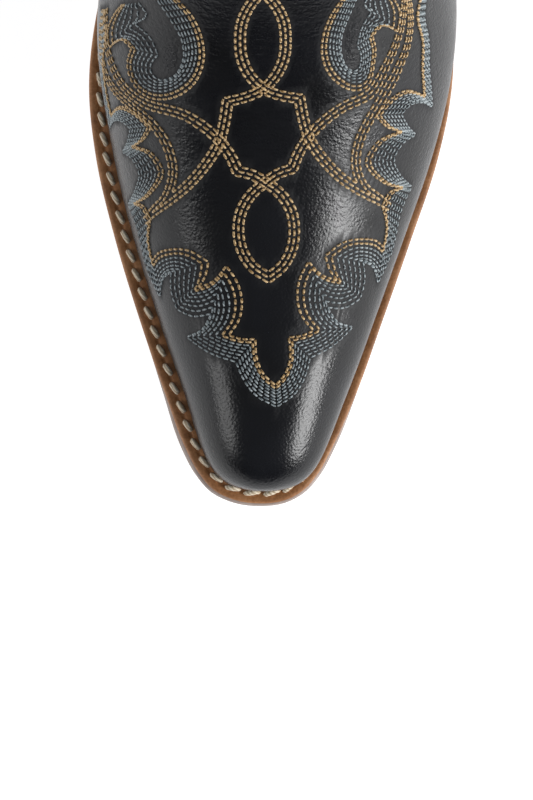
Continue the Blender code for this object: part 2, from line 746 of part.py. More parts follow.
def make_heel():
    edges = Edges(HEEL_INSET)
    turn = np.sin(np.linspace(0.0, math.pi / 2, HEEL_STATIONS))
    stations = HEEL_BREAST + (edges.end - HEEL_END_TRIM - HEEL_BREAST) * turn
    flat = np.zeros_like(stations)
    cap = heel_slab("heel_cap", edges, stations, flat, flat + CAP_THICK, "rubber")
    seat = ground(stations) - GAP
    lifts = []
    for i in range(LIFT_COUNT):
        low = CAP_THICK + (seat - CAP_THICK) * i / LIFT_COUNT + GAP
        high = CAP_THICK + (seat - CAP_THICK) * (i + 1) / LIFT_COUNT
        lifts.append(heel_slab(f"heel_lift_{i + 1}", edges, stations, low, high, "tan_leather"))
    for i in range(NAIL_COUNT):
        angle = math.radians(NAIL_SPAN * (2.0 * i / (NAIL_COUNT - 1) - 1.0))
        across = NAIL_CENTRE_X + NAIL_CIRCLE * math.sin(angle)
        along = NAIL_CENTRE + NAIL_CIRCLE * math.cos(angle)
        cylinder(f"heel_nail_{i + 1}", NAIL_RADIUS, NAIL_LOW, NAIL_LENGTH, across, along, "brass")
        hole = cylinder(f"nail_hole_{i + 1}", NAIL_RADIUS + NAIL_CLEARANCE, NAIL_HOLE_LOW,
                        NAIL_LENGTH + NAIL_CLEARANCE, across, along)
        cut(cap, hole)
        cut(lifts[0], hole)


def main():
    for old in list(bpy.data.objects):
        bpy.data.objects.remove(old, do_unlink=True)
    collection(COLLECTION)
    collection(CUTTERS)
    make_covers()
    make_stiffeners()
    make_linings()
    make_piping()
    make_binding()
    make_straps()
    make_bottom()
    make_welt_thread()
    make_heel()


main()
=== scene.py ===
"""Western boot, left foot: the finished surfaces, threads, finishes and light.

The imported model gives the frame.  Boot space is in millimetres: (across, from the
toe tip, up), with the inner side of the foot at negative across.
"""

import math

import bmesh
import bpy
import numpy as np
from mathutils import Matrix, Vector
from mathutils.bvhtree import BVHTree
from mathutils.kdtree import KDTree


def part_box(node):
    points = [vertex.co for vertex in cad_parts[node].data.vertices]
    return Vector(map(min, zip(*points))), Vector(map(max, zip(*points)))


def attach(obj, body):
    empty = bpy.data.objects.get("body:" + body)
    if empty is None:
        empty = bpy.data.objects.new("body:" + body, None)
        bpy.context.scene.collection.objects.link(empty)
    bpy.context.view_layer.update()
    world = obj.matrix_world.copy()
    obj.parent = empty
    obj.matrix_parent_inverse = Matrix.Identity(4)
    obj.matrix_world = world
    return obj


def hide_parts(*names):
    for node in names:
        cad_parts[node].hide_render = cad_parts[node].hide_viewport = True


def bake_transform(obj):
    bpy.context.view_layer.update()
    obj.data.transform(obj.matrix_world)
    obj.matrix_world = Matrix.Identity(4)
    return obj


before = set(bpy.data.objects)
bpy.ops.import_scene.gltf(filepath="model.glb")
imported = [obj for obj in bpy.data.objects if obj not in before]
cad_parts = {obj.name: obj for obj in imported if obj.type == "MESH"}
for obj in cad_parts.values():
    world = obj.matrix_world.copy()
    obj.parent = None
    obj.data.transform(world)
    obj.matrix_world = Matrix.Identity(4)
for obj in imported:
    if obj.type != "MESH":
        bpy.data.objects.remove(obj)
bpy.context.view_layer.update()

MM = 0.001
BOOT_BODY = "boot"

# Driving sizes, read from the frame and turned to boot space.
SOLE_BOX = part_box("outsole")
SHAFT_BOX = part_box("shaft_front")
SOLE_EDGE_INSET = 0.25
TOE_TIP_Y = SOLE_BOX[0].y - SOLE_EDGE_INSET * MM
CENTRE_X = 1.1
ANKLE_FEATHER = 40.0
TOP_LINE = SHAFT_BOX[1].z / MM - ANKLE_FEATHER

# Plan of the outsole's edge: (across, from the toe tip).
LATERAL_PLAN = [
    (-1.4, 0.0), (5.5, 0.9), (11.0, 4.0), (14.5, 8.0), (19.0, 16.0), (24.9, 29.0), (33.0, 51.0),
    (40.9, 73.6), (48.2, 96.0), (52.0, 116.0), (52.0, 136.0), (47.5, 160.0), (40.0, 188.0),
    (34.5, 214.0), (32.6, 238.0), (31.8, 262.0), (27.5, 285.0), (17.0, 300.0), (0.5, 305.0),
]
MEDIAL_PLAN = [
    (-8.5, 0.9), (-14.9, 4.0), (-18.4, 8.0), (-22.7, 16.0), (-27.6, 29.0), (-35.3, 51.0),
    (-42.3, 73.6), (-47.7, 96.0), (-49.8, 116.0), (-47.5, 138.0), (-40.5, 162.0), (-33.5, 188.0),
    (-30.5, 214.0), (-30.2, 238.0), (-30.2, 262.0), (-26.5, 285.0), (-16.0, 300.0),
]
GROUND_LINE = [
    (0.0, 10.0), (20.0, 6.6), (45.0, 3.0), (70.0, 0.7), (90.0, 0.0), (115.0, 0.0), (135.0, 1.6),
    (160.0, 8.6), (185.0, 17.6), (210.0, 25.6), (235.0, 30.6), (270.0, 34.4), (305.0, 36.6),
]
WELT_LOW = 5.0
WELT_HIGH = 8.0
UPPER_LOW = 8.0
WELT_REACH = 5.6
TOE_REACH = 3.6
HEEL_REACH = 2.6
TOE_SPREAD = 30.0
HEEL_NARROWING = (200.0, 245.0)
WELT_WIDTH = 11.0

# Ridge of the vamp above the feather line, and the back of the heel.
RIDGE_LINE = [
    (0.0, 0.0), (0.4, 8.0), (2.0, 14.0), (5.4, 18.4), (14.0, 22.8), (28.0, 27.0), (48.0, 32.6),
    (72.0, 40.5), (95.0, 50.0), (115.0, 61.0), (135.0, 76.0), (152.0, 95.0), (166.0, 120.0),
    (178.0, 160.0), (190.0, 230.0), (310.0, 420.0),
]
HEEL_BACK_LINE = [
    (0.0, 302.4), (18.0, 304.2), (45.0, 301.5), (75.0, 296.5), (110.0, 294.5), (300.0, 300.0),
]
ARCH_WIDTH_POWER = 2.3
ARCH_HEIGHT_POWER = 2.0
# How far the wall swells out over the feather line: at the ball, and at the waist.
MEDIAL_BULGES, LATERAL_BULGES = (1.5, 7.5), (4.2, 3.0)
FRONT_BULGE_HEIGHT, WAIST_BULGE_HEIGHT = 14.0, 30.0
BULGE_FADE = 12.0
WAIST_RISE, WAIST_FALL = (95.0, 150.0), (200.0, 250.0)
RIDGE_SHIFT, RIDGE_SHIFT_SPAN = -5.0, (25.0, 120.0)
SIDE_SEAM_LOW, SIDE_SEAM_HIGH, SIDE_SEAM_RISE = 222.0, 240.0, 100.0

# Shaft: (height above the ankle's feather line, front, back, half width).
SHAFT_SECTIONS = [
    (60.0, 186.0, 296.5, 37.0), (100.0, 186.0, 295.0, 39.0), (150.0, 178.0, 298.0, 42.5),
    (210.0, 167.0, 301.0, 46.0), (260.0, 160.0, 303.0, 48.5), (310.0, 156.0, 304.0, 49.5),
]
SHAFT_X = 1.1
BLEND_LOW, BLEND_HIGH = 66.0, 135.0
FRONT_SCALLOP, BACK_SCALLOP = 30.0, 22.0
VAMP_SIDE, TONGUE_TIP, COUNTER_TOP = 52.0, 122.0, 66.0
SEAM_GAP = 0.5
TOE_CROWDING, ROW_CROWDING = 1.35, 1.35

COVER_THICK = 1.6
SHAFT_OFFSET = -1.7
LINING_OFFSET = -3.6
LINING_THICK = 1.3


# ------------------------------------------------------------ plain geometry
def smooth(table, value):
    """Cubic Hermite curve through a table of (place, height) pairs."""
    places, heights = np.array(table, dtype=float).T
    slopes = np.gradient(heights, places)
    value = np.clip(value, places[0], places[-1])
    low = np.clip(np.searchsorted(places, value) - 1, 0, len(places) - 2)
    step = places[low + 1] - places[low]
    f = (value - places[low]) / step
    rise = (1 + 2 * f) * (1 - f) ** 2 * heights[low] + f * f * (3 - 2 * f) * heights[low + 1]
    lean = f * (1 - f) ** 2 * slopes[low] - f * f * (1 - f) * slopes[low + 1]
    return rise + lean * step


def smoothstep(low, high, value):
    f = np.clip((value - low) / (high - low), 0.0, 1.0)
    return f * f * (3 - 2 * f)


def walked(points):
    """Distance along a polyline at each of its points."""
    steps = np.linalg.norm(np.diff(points, axis=0), axis=1)
    return np.concatenate([[0.0], np.cumsum(steps)])


def resample(points, lengths):
    along = walked(points)
    return np.array([np.interp(lengths, along, axis) for axis in points.T]).T


def unit(vectors):
    return vectors / np.maximum(np.linalg.norm(vectors, axis=-1, keepdims=True), 1e-12)


def to_world(points):
    points = np.asarray(points, dtype=float)
    world = points * MM
    world[..., 0] -= CENTRE_X * MM
    world[..., 1] += TOE_TIP_Y
    return world


def from_world(points):
    points = np.array(points, dtype=float)
    points[..., 0] += CENTRE_X * MM
    points[..., 1] -= TOE_TIP_Y
    return points / MM


def bump(value):
    return value * np.exp(1.0 - value)


# --------------------------------------------------------------- plan outline
PLAN_STATIONS = 1200


def closed_plan():
    """Dense closed outline of the outsole, from the toe tip round the lateral side."""
    corners = np.array(LATERAL_PLAN + MEDIAL_PLAN[::-1])
    wrapped = np.vstack([corners[-4:], corners, corners[:5]])
    along = walked(wrapped)
    dense = np.linspace(along[4], along[4 + len(corners)], PLAN_STATIONS, endpoint=False)
    return np.column_stack([smooth(np.column_stack([along, axis]), dense) for axis in wrapped.T])


PLAN = closed_plan()
PLAN_TANGENT = unit(np.roll(PLAN, -1, axis=0) - np.roll(PLAN, 1, axis=0))
PLAN_INWARD = np.column_stack([-PLAN_TANGENT[:, 1], PLAN_TANGENT[:, 0]])


def inset_plan(inset):
    reach = inset(PLAN[:, 1]) if callable(inset) else np.full(len(PLAN), float(inset))
    return PLAN + PLAN_INWARD * reach[:, None]


def feather_inset(along):
    """Distance from the outsole's edge to the upper's lower edge."""
    toe = (TOE_REACH - WELT_REACH) * (1.0 - smoothstep(0.0, TOE_SPREAD, along))
    return WELT_REACH + toe + (HEEL_REACH - WELT_REACH) * smoothstep(*HEEL_NARROWING, along)


class Edges:
    """Medial and lateral edge of an inset outline, as functions of length."""

    def __init__(self, inset):
        loop = inset_plan(inset)
        loop = np.roll(loop, -int(np.argmin(loop[:, 1])), axis=0)
        heel = int(np.argmax(loop[:, 1]))
        lateral = loop[: heel + 1]
        medial = np.vstack([loop[heel:], loop[:1]])[::-1]
        self.start, self.end = float(loop[0, 1]), float(loop[heel, 1])
        self.lateral_side = lateral[np.argsort(lateral[:, 1])]
        self.medial_side = medial[np.argsort(medial[:, 1])]

    def lateral(self, along):
        return np.interp(along, self.lateral_side[:, 1], self.lateral_side[:, 0])

    def medial(self, along):
        return np.interp(along, self.medial_side[:, 1], self.medial_side[:, 0])


FEATHER = Edges(feather_inset)
RIDGE_PLACES = np.linspace(0.0, 305.0, 3000)
RIDGE_HEIGHTS = smooth(RIDGE_LINE, RIDGE_PLACES)


def ground(along):
    """Height of the outsole's underside, which never dips below the floor."""
    return np.maximum(smooth(GROUND_LINE, along), 0.0)


# ------------------------------------------------------- the upper's surface
def foot_half_slice(height, side, panel, count=140):
    """One side of the foot's slice at a height above the feather line."""
    seam = SIDE_SEAM_LOW + (SIDE_SEAM_HIGH - SIDE_SEAM_LOW) * min(height / SIDE_SEAM_RISE, 1.0)
    f = np.linspace(0.0, 1.0, count) ** 2
    if panel == "front":
        start = FEATHER.start + np.interp(height, RIDGE_HEIGHTS, RIDGE_PLACES)
        along = start + (seam - start) * f
    else:
        along = FEATHER.end - (FEATHER.end - seam) * f
    lateral, medial = FEATHER.lateral(along), FEATHER.medial(along)
    centre = 0.5 * (lateral + medial)
    width = np.abs((lateral if side > 0 else medial) - centre)
    ridge = np.interp(along - FEATHER.start, RIDGE_PLACES, RIDGE_HEIGHTS)
    fall = np.clip(height / np.maximum(ridge, 1e-6), 0.0, 1.0)
    arch = (1.0 - fall ** ARCH_HEIGHT_POWER) ** (1.0 / ARCH_WIDTH_POWER)
    waist = smoothstep(*WAIST_RISE, along) * (1.0 - smoothstep(*WAIST_FALL, along))
    front_bulge, waist_bulge = LATERAL_BULGES if side > 0 else MEDIAL_BULGES
    bulge = front_bulge * bump(height / FRONT_BULGE_HEIGHT)
    bulge = bulge + waist_bulge * waist * bump(height / WAIST_BULGE_HEIGHT)
    ridge_centre = centre + RIDGE_SHIFT * smoothstep(*RIDGE_SHIFT_SPAN, along) * fall ** 2
    across = ridge_centre + side * (width + bulge * smoothstep(0.0, BULGE_FADE, width)) * arch
    if panel == "back":
        back = smooth(HEEL_BACK_LINE, height)
        along = seam + (along - seam) * (back - seam) / (FEATHER.end - seam)
    return np.column_stack([across, along, ground(along) + UPPER_LOW + height])


def shaft_at(height):
    """Front, back and half width of the shaft at a height above the ankle's feather line."""
    table = np.array(SHAFT_SECTIONS)
    return [float(smooth(table[:, [0, i]], height)) for i in (1, 2, 3)]


def shaft_half_slice(height, side, panel, count=60):
    front, back, half_width = shaft_at(height)
    middle = 0.5 * (front + back)
    angle = np.linspace(0.0, math.pi / 2, count)
    reach = front - middle if panel == "front" else back - middle
    across = SHAFT_X + side * half_width * np.sin(angle)
    up = np.full(count, ANKLE_FEATHER + height)
    return np.column_stack([across, middle + reach * np.cos(angle), up])


def upper_point(panel, side, share, height):
    """A point of the upper: share is 0 on the centre line and 1 at the side seam."""
    weight = float(smoothstep(BLEND_LOW, BLEND_HIGH, height))
    crowding = TOE_CROWDING + (1.0 - TOE_CROWDING) * min(height / BLEND_LOW, 1.0)
    power = crowding if panel == "front" else 1.0
    point = np.zeros(3)
    for part, slicer in ((1.0 - weight, foot_half_slice), (weight, shaft_half_slice)):
        if part > 0.0:
            line = slicer(height, side, panel)
            along = walked(line)
            length = (along[-1] - 0.5 * SEAM_GAP) * share ** power
            point += part * np.array([np.interp(length, along, axis) for axis in line.T])
    return point


def seam_height(panel, share):
    """Height of the vamp's or the counter's upper edge."""
    top = TONGUE_TIP if panel == "front" else COUNTER_TOP
    return VAMP_SIDE + (top - VAMP_SIDE) * np.cos(0.5 * math.pi * share) ** 2


# The shaft starts at this share of the seam's height, behind the vamp; its lining starts lower.
SHAFT_TUCK, LINING_TUCK = 0.91, 0.75


def top_height(panel, share):
    dip = FRONT_SCALLOP if panel == "front" else BACK_SCALLOP
    return TOP_LINE - dip * (1.0 - np.sin(0.5 * math.pi * share))


def foot_heights(panel, shares, steps, top=1.0):
    """Rows from the feather line to a share of the seam's height, closer at the bottom."""
    rows = np.linspace(0.0, 1.0, steps) ** ROW_CROWDING * top
    return rows[:, None] * seam_height(panel, np.abs(shares))[None, :]


def shaft_heights(panel, shares, steps, start=SHAFT_TUCK):
    low = seam_height(panel, np.abs(shares)) * start
    high = top_height(panel, np.abs(shares))
    rows = np.linspace(0.0, 1.0, steps)
    return low[None, :] + rows[:, None] * (high - low)[None, :]


def cage(panel, columns, heights_of, steps, **limits):
    """Grid of surface points and outward normals; shares run from medial -1 to lateral 1."""
    shares = np.linspace(-1.0, 1.0, 2 * columns + 1)
    heights = heights_of(panel, shares, steps, **limits)
    grid = np.array([[upper_point(panel, 1 if share >= 0 else -1, abs(share), height)
                      for share, height in zip(shares, row)] for row in heights])
    normals = unit(np.cross(np.gradient(grid, axis=1), np.gradient(grid, axis=0)))
    return grid, normals if panel == "front" else -normals


# ------------------------------------------------------------ object helpers
def grid_faces(rows, columns, flip=False, closed=False):
    r, c = np.meshgrid(np.arange(rows - 1), np.arange(columns if closed else columns - 1), indexing="ij")
    after = (c + 1) % columns
    quads = np.stack([r * columns + c, r * columns + after, (r + 1) * columns + after,
                      (r + 1) * columns + c], axis=-1)
    quads = quads.reshape(-1, 4)
    return quads[:, ::-1] if flip else quads


def build(name, points, faces, finish):
    """A mesh object in the frame, from points in boot space."""
    mesh = bpy.data.meshes.new(name)
    mesh.from_pydata(to_world(points).tolist(), [], [list(map(int, face)) for face in faces])
    mesh.update()
    mesh.shade_smooth()
    mesh.materials.append(finish)
    piece = bpy.data.objects.new(name, mesh)
    bpy.context.scene.collection.objects.link(piece)
    return piece


def face_out(piece):
    form = bmesh.new()
    form.from_mesh(piece.data)
    bmesh.ops.recalc_face_normals(form, faces=form.faces)
    form.to_mesh(piece.data)
    form.free()
    return piece


def settle(piece):
    """Apply the modifiers, so that the piece keeps only its final mesh."""
    graph = bpy.context.evaluated_depsgraph_get()
    mesh = bpy.data.meshes.new_from_object(piece.evaluated_get(graph))
    piece.modifiers.clear()
    piece.data = mesh
    return piece


def subdivide(piece, levels):
    step = piece.modifiers.new("smooth", "SUBSURF")
    step.levels = step.render_levels = levels
    return settle(piece)


def thicken(piece, thickness):
    step = piece.modifiers.new("thickness", "SOLIDIFY")
    step.thickness = thickness * MM
    step.offset = -1.0
    return settle(piece)


def finish_piece(piece, body=BOOT_BODY, stands_for=()):
    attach(piece, body)
    if stands_for:
        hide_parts(*stands_for)
    return piece


# ----------------------------------------------------------------- materials
def linear(code):
    """sRGB hex to a linear colour with alpha."""
    parts = [int(code[i:i + 2], 16) / 255.0 for i in (1, 3, 5)]
    return [p / 12.92 if p <= 0.04045 else ((p + 0.055) / 1.055) ** 2.4 for p in parts] + [1.0]


def add_node(tree, kind, sockets=None, **settings):
    """A node with its settings, its plain values and its incoming links."""
    node = tree.nodes.new(kind)
    for name, value in settings.items():
        setattr(node, name, value)
    for name, value in (sockets or {}).items():
        if isinstance(value, bpy.types.NodeSocket):
            tree.links.new(value, node.inputs[name])
        else:
            node.inputs[name].default_value = value
    return node


def new_finish(name):
    """A material with its node tree, its shader and the object's own coordinates in metres."""
    material = bpy.data.materials.new(name)
    material.use_nodes = True
    tree = material.node_tree
    shader = tree.nodes["Principled BSDF"]
    place = add_node(tree, "ShaderNodeTexCoord").outputs["Object"]
    return material, tree, shader, place


def pattern_scale(size_mm):
    """Texture scale that repeats a pattern every size_mm millimetres."""
    return 1.0 / (size_mm * MM)


def ramp(tree, factor, *stops):
    """A colour ramp through (position, colour) stops."""
    node = add_node(tree, "ShaderNodeValToRGB", {"Fac": factor})
    node.color_ramp.elements[0].position, node.color_ramp.elements[0].color = stops[0]
    node.color_ramp.elements[1].position, node.color_ramp.elements[1].color = stops[-1]
    for position, colour in stops[1:-1]:
        node.color_ramp.elements.new(position).color = colour
    return node.outputs["Color"]


def noise(tree, place, size_mm, detail=2.0, roughness=0.5):
    sockets = {"Vector": place, "Scale": pattern_scale(size_mm), "Detail": detail, "Roughness": roughness}
    return add_node(tree, "ShaderNodeTexNoise", sockets).outputs["Fac"]


def bump_up(tree, height, distance_mm, strength=1.0, normal=None):
    sockets = {"Height": height, "Distance": distance_mm * MM, "Strength": strength}
    if normal:
        sockets["Normal"] = normal
    return add_node(tree, "ShaderNodeBump", sockets).outputs["Normal"]


def grained(tree, place, pebble_mm, depth_mm, strength=1.0, normal=None):
    """Leather grain: rounded pebbles parted by fine furrows, with pores in between."""
    cells = add_node(tree, "ShaderNodeTexVoronoi", {"Vector": place, "Scale": pattern_scale(pebble_mm),
                                                    "Smoothness": 0.6}, feature="SMOOTH_F1")
    pebbles = bump_up(tree, cells.outputs["Distance"], -depth_mm, strength, normal)
    return bump_up(tree, noise(tree, place, 0.45 * pebble_mm), 0.4 * depth_mm, strength, pebbles)


CREASE_START, CREASE_FULL = 62.0, 95.0
STITCHED, PUCKERED_ROUGHNESS = "stitched", 0.62


def black_calf():
    """Black calf leather, drum dyed and glazed: near black, a soft gloss broken by fine grain."""
    material, tree, shader, place = new_finish("black_calf_leather")
    cloud = noise(tree, place, 22.0, 3.0)
    colour = ramp(tree, cloud, (0.3, linear("#08080a")), (0.75, linear("#111217")))
    tree.links.new(colour, shader.inputs["Base Color"])
    handled = noise(tree, place, 9.0, 4.0, 0.6)
    gloss = add_node(tree, "ShaderNodeMapRange", {"Value": handled, "From Min": 0.3, "From Max": 0.7,
                                                  "To Min": 0.24, "To Max": 0.31})
    stitched = add_node(tree, "ShaderNodeAttribute", attribute_name=STITCHED).outputs["Fac"]
    dulled = add_node(tree, "ShaderNodeMix", {"Factor": stitched, "A": gloss.outputs["Result"],
                                              "B": PUCKERED_ROUGHNESS}, data_type="FLOAT")
    tree.links.new(dulled.outputs["Result"], shader.inputs["Roughness"])
    shader.inputs["IOR"].default_value = 1.4
    creases = add_node(tree, "ShaderNodeMapping", {"Vector": place, "Scale": (1.0, 3.8, 3.8)})
    folds = noise(tree, creases.outputs["Vector"], 4.6, 3.0, 0.55)
    along = add_node(tree, "ShaderNodeSeparateXYZ", {"Vector": place}).outputs["Y"]
    flexed = add_node(tree, "ShaderNodeMapRange", {"Value": along,
                                                   "From Min": TOE_TIP_Y + CREASE_START * MM,
                                                   "From Max": TOE_TIP_Y + CREASE_FULL * MM})
    depth = add_node(tree, "ShaderNodeMath", {0: folds, 1: flexed.outputs["Result"]}, operation="MULTIPLY")
    soft = bump_up(tree, depth.outputs["Value"], 0.22, 0.6)
    tree.links.new(grained(tree, place, 0.75, 0.06, 1.0, soft), shader.inputs["Normal"])
    return material


def lining_calf():
    """Vegetable tanned lining calf, undyed: pale tan, matt and smooth."""
    material, tree, shader, place = new_finish("tan_lining_calf")
    colour = ramp(tree, noise(tree, place, 14.0, 4.0), (0.3, linear("#a9814f")), (0.7, linear("#c39a68")))
    tree.links.new(colour, shader.inputs["Base Color"])
    shader.inputs["Roughness"].default_value = 0.62
    tree.links.new(grained(tree, place, 1.1, 0.05), shader.inputs["Normal"])
    return material


def welting_leather():
    """Oak bark tanned welting, stained brown and waxed: fibres run in it."""
    material, tree, shader, place = new_finish("stained_welting_leather")
    fibres = noise(tree, place, 0.9, 6.0, 0.7)
    stain = noise(tree, place, 7.0, 3.0)
    mixed = add_node(tree, "ShaderNodeMix", {"Factor": 0.55, "A": stain, "B": fibres}, data_type="FLOAT")
    colour = ramp(tree, mixed.outputs["Result"], (0.32, linear("#7d5029")), (0.5, linear("#a87143")),
                  (0.68, linear("#c59062")))
    tree.links.new(colour, shader.inputs["Base Color"])
    shader.inputs["Roughness"].default_value = 0.55
    tree.links.new(bump_up(tree, fibres, 0.12, 0.8), shader.inputs["Normal"])
    return material


def bend_leather():
    """Oak bark tanned sole bend, waxed: pale greyish pink, layered."""
    material, tree, shader, place = new_finish("burnished_sole_leather")
    layers = add_node(tree, "ShaderNodeMapping", {"Vector": place, "Scale": (1.0, 1.0, 9.0)})
    grain = noise(tree, layers.outputs["Vector"], 6.0, 5.0, 0.6)
    colour = ramp(tree, grain, (0.3, linear("#86756c")), (0.55, linear("#a8978e")),
                  (0.8, linear("#bfb1a8")))
    tree.links.new(colour, shader.inputs["Base Color"])
    shader.inputs["Roughness"].default_value = 0.5
    tree.links.new(bump_up(tree, grain, 0.15, 0.5), shader.inputs["Normal"])
    return material


def stacked_leather():
    """Stacked leather lifts, sanded and waxed: each lift a little different."""
    material, tree, shader, place = new_finish("waxed_stacked_leather")
    layers = add_node(tree, "ShaderNodeMapping", {"Vector": place, "Scale": (1.0, 1.0, 14.0)})
    grain = noise(tree, layers.outputs["Vector"], 18.0, 6.0, 0.65)
    colour = ramp(tree, grain, (0.3, linear("#4a2c18")), (0.52, linear("#7a4c2b")),
                  (0.75, linear("#976640")))
    tree.links.new(colour, shader.inputs["Base Color"])
    shader.inputs["Roughness"].default_value = 0.42
    shader.inputs["Coat Weight"].default_value = 0.2
    tree.links.new(bump_up(tree, grain, 0.2, 0.5), shader.inputs["Normal"])
    return material


def sewing_thread(name, dark, light, roughness=0.42):
    """Twisted rayon thread: diagonal bands over its plies, coloured from a painted shade in the twist to a
    painted highlight on the plies.
    """
    material, tree, shader, place = new_finish(name)
    plies_and_painted_shading = add_node(tree, "ShaderNodeTexWave", {"Vector": place, "Scale": pattern_scale(2.4),
                                                 "Distortion": 2.0}, bands_direction="DIAGONAL")
    # Painted light: the dark colour is a painted shade in the twist, the light colour a painted highlight
    # on the plies.
    colour = ramp(tree, plies_and_painted_shading.outputs["Fac"], (0.15, linear(dark)), (0.75, linear(light)))
    tree.links.new(colour, shader.inputs["Base Color"])
    shader.inputs["Roughness"].default_value = roughness
    shader.inputs["Sheen Weight"].default_value = 0.25
    tree.links.new(bump_up(tree, plies_and_painted_shading.outputs["Fac"], 0.08, 0.8), shader.inputs["Normal"])
    return material


def moulded_rubber():
    """Moulded black rubber: matt, faintly pitted."""
    material, tree, shader, place = new_finish("moulded_heel_rubber")
    colour = ramp(tree, noise(tree, place, 4.0, 3.0), (0.3, linear("#151515")), (0.7, linear("#232322")))
    tree.links.new(colour, shader.inputs["Base Color"])
    shader.inputs["Roughness"].default_value = 0.7
    tree.links.new(bump_up(tree, noise(tree, place, 0.6), 0.05), shader.inputs["Normal"])
    return material


def fibre_board():
    """Pressed cellulose board: pale brown, flecked and matt."""
    material, tree, shader, place = new_finish("pressed_fibre_board")
    colour = ramp(tree, noise(tree, place, 1.2, 5.0), (0.35, linear("#8c7355")), (0.65, linear("#b39a78")))
    tree.links.new(colour, shader.inputs["Base Color"])
    shader.inputs["Roughness"].default_value = 0.85
    return material


def ground_cork():
    """Ground cork in binder: grains of several browns."""
    material, tree, shader, place = new_finish("ground_cork")
    grains = add_node(tree, "ShaderNodeTexVoronoi", {"Vector": place, "Scale": pattern_scale(2.2)})
    colour = ramp(tree, grains.outputs["Color"], (0.2, linear("#6e4a29")), (0.8, linear("#b8895a")))
    tree.links.new(colour, shader.inputs["Base Color"])
    shader.inputs["Roughness"].default_value = 0.9
    return material


def rolled_metal(name, dark, light, roughness):
    """Rolled metal: the rollers leave faint streaks."""
    material, tree, shader, place = new_finish(name)
    colour = ramp(tree, noise(tree, place, 3.0, 4.0), (0.3, linear(dark)), (0.7, linear(light)))
    tree.links.new(colour, shader.inputs["Base Color"])
    shader.inputs["Metallic"].default_value = 1.0
    shader.inputs["Roughness"].default_value = roughness
    return material


CALF = black_calf()
LINING = lining_calf()
WELTING = welting_leather()
BEND = bend_leather()
STACK = stacked_leather()
# Each thread: its painted shade colour in the twist, then its painted highlight colour on the plies.
GOLD_THREAD = sewing_thread("gold_rayon_thread", "#9c7843", "#e6c48e")
SLATE_THREAD = sewing_thread("slate_rayon_thread", "#667175", "#acb6b9")
WELT_THREAD = sewing_thread("waxed_linen_thread", "#cdb898", "#fff0d6", 0.6)
BLACK_THREAD = sewing_thread("black_nylon_thread", "#1b1c1f", "#3c3e43")
RUBBER = moulded_rubber()
BOARD = fibre_board()
CORK = ground_cork()
STEEL = rolled_metal("rolled_spring_steel", "#8d8f92", "#b9babc", 0.35)
BRASS = rolled_metal("drawn_brass_wire", "#b08d4c", "#d9b873", 0.3)


# ------------------------------------------------------------------ the upper
VAMP_COLUMNS, VAMP_ROWS = 30, 28
COUNTER_COLUMNS, COUNTER_ROWS = 20, 20
SHAFT_COLUMNS, SHAFT_ROWS = 22, 26


def make_shell(name, panel, shape, heights_of, layer, finish, levels, **limits):
    """A leather shell over one panel; layer is its outer face's offset and its thickness."""
    columns, rows = shape
    offset, thickness = layer
    grid, normals = cage(panel, columns, heights_of, rows, **limits)
    points = grid + normals * offset
    faces = grid_faces(*points.shape[:2], flip=panel == "back")
    piece = subdivide(build(name, points.reshape(-1, 3), faces, finish), levels)
    return thicken(piece, thickness), grid, normals


COVER = (0.0, COVER_THICK)
SHAFT_LAYER = (SHAFT_OFFSET, COVER_THICK)
LINING_LAYER = (LINING_OFFSET, LINING_THICK)

vamp = make_shell("vamp_leather", "front", (VAMP_COLUMNS, VAMP_ROWS), foot_heights, COVER, CALF, 2)[0]
finish_piece(vamp, stands_for=["vamp"])
counter = make_shell("counter_leather", "back", (COUNTER_COLUMNS, COUNTER_ROWS), foot_heights, COVER,
                     CALF, 2)[0]
finish_piece(counter, stands_for=["counter_cover"])

shafts = {}
for panel in ("front", "back"):
    leather, grid, normals = make_shell(
        f"shaft_{panel}_leather", panel, (SHAFT_COLUMNS, SHAFT_ROWS), shaft_heights, SHAFT_LAYER, CALF, 1)
    finish_piece(leather, stands_for=[f"shaft_{panel}"])
    shafts[panel] = (leather, grid, normals)
    lining = make_shell(f"shaft_lining_{panel}_calf", panel, (SHAFT_COLUMNS, SHAFT_ROWS), shaft_heights,
                        LINING_LAYER, LINING, 1, start=LINING_TUCK)[0]
    finish_piece(lining, stands_for=[f"shaft_lining_{panel}"])


# ------------------------------------------------------------- strips and tubes
def sweep(name, sections, finish, closed=False):
    """A strip whose section is carried along stations: sections has shape (corners, stations, 3)."""
    points = np.array(sections)
    corners, stations = points.shape[:2]
    faces = [tuple(face) for face in grid_faces(corners, stations, closed=closed)]
    last = (corners - 1) * stations
    for c in range(stations if closed else stations - 1):
        after = (c + 1) % stations
        faces.append((last + c, last + after, after, c))
    if not closed:
        faces += [tuple(k * stations + end for k in range(corners)) for end in (0, stations - 1)]
    return face_out(build(name, points.reshape(-1, 3), faces, finish))


def tube(name, path, radius, finish, sides=10):
    """A round cord along a path, with closed ends."""
    forward = unit(np.gradient(path, axis=0))
    side = unit(np.cross(forward, [0.0, 0.3, 1.0]))
    up = np.cross(side, forward)
    turn = np.linspace(0.0, 2.0 * math.pi, sides, endpoint=False)
    rings = [path + radius * (side * math.cos(angle) + up * math.sin(angle)) for angle in turn]
    return sweep(name, rings, finish)


def sole_stations(keep, step=1):
    """Indices of the outline where keep is true, in one unbroken run."""
    chosen = keep(PLAN[:, 1])
    first = int(np.argmax(chosen & ~np.roll(chosen, 1)))
    order = np.roll(np.arange(len(PLAN)), -first)
    return order[chosen[order]][::step]


def raised(plan_points, height):
    """Plan points at a height above the outsole's underside."""
    return np.column_stack([plan_points, ground(plan_points[:, 1]) + height])


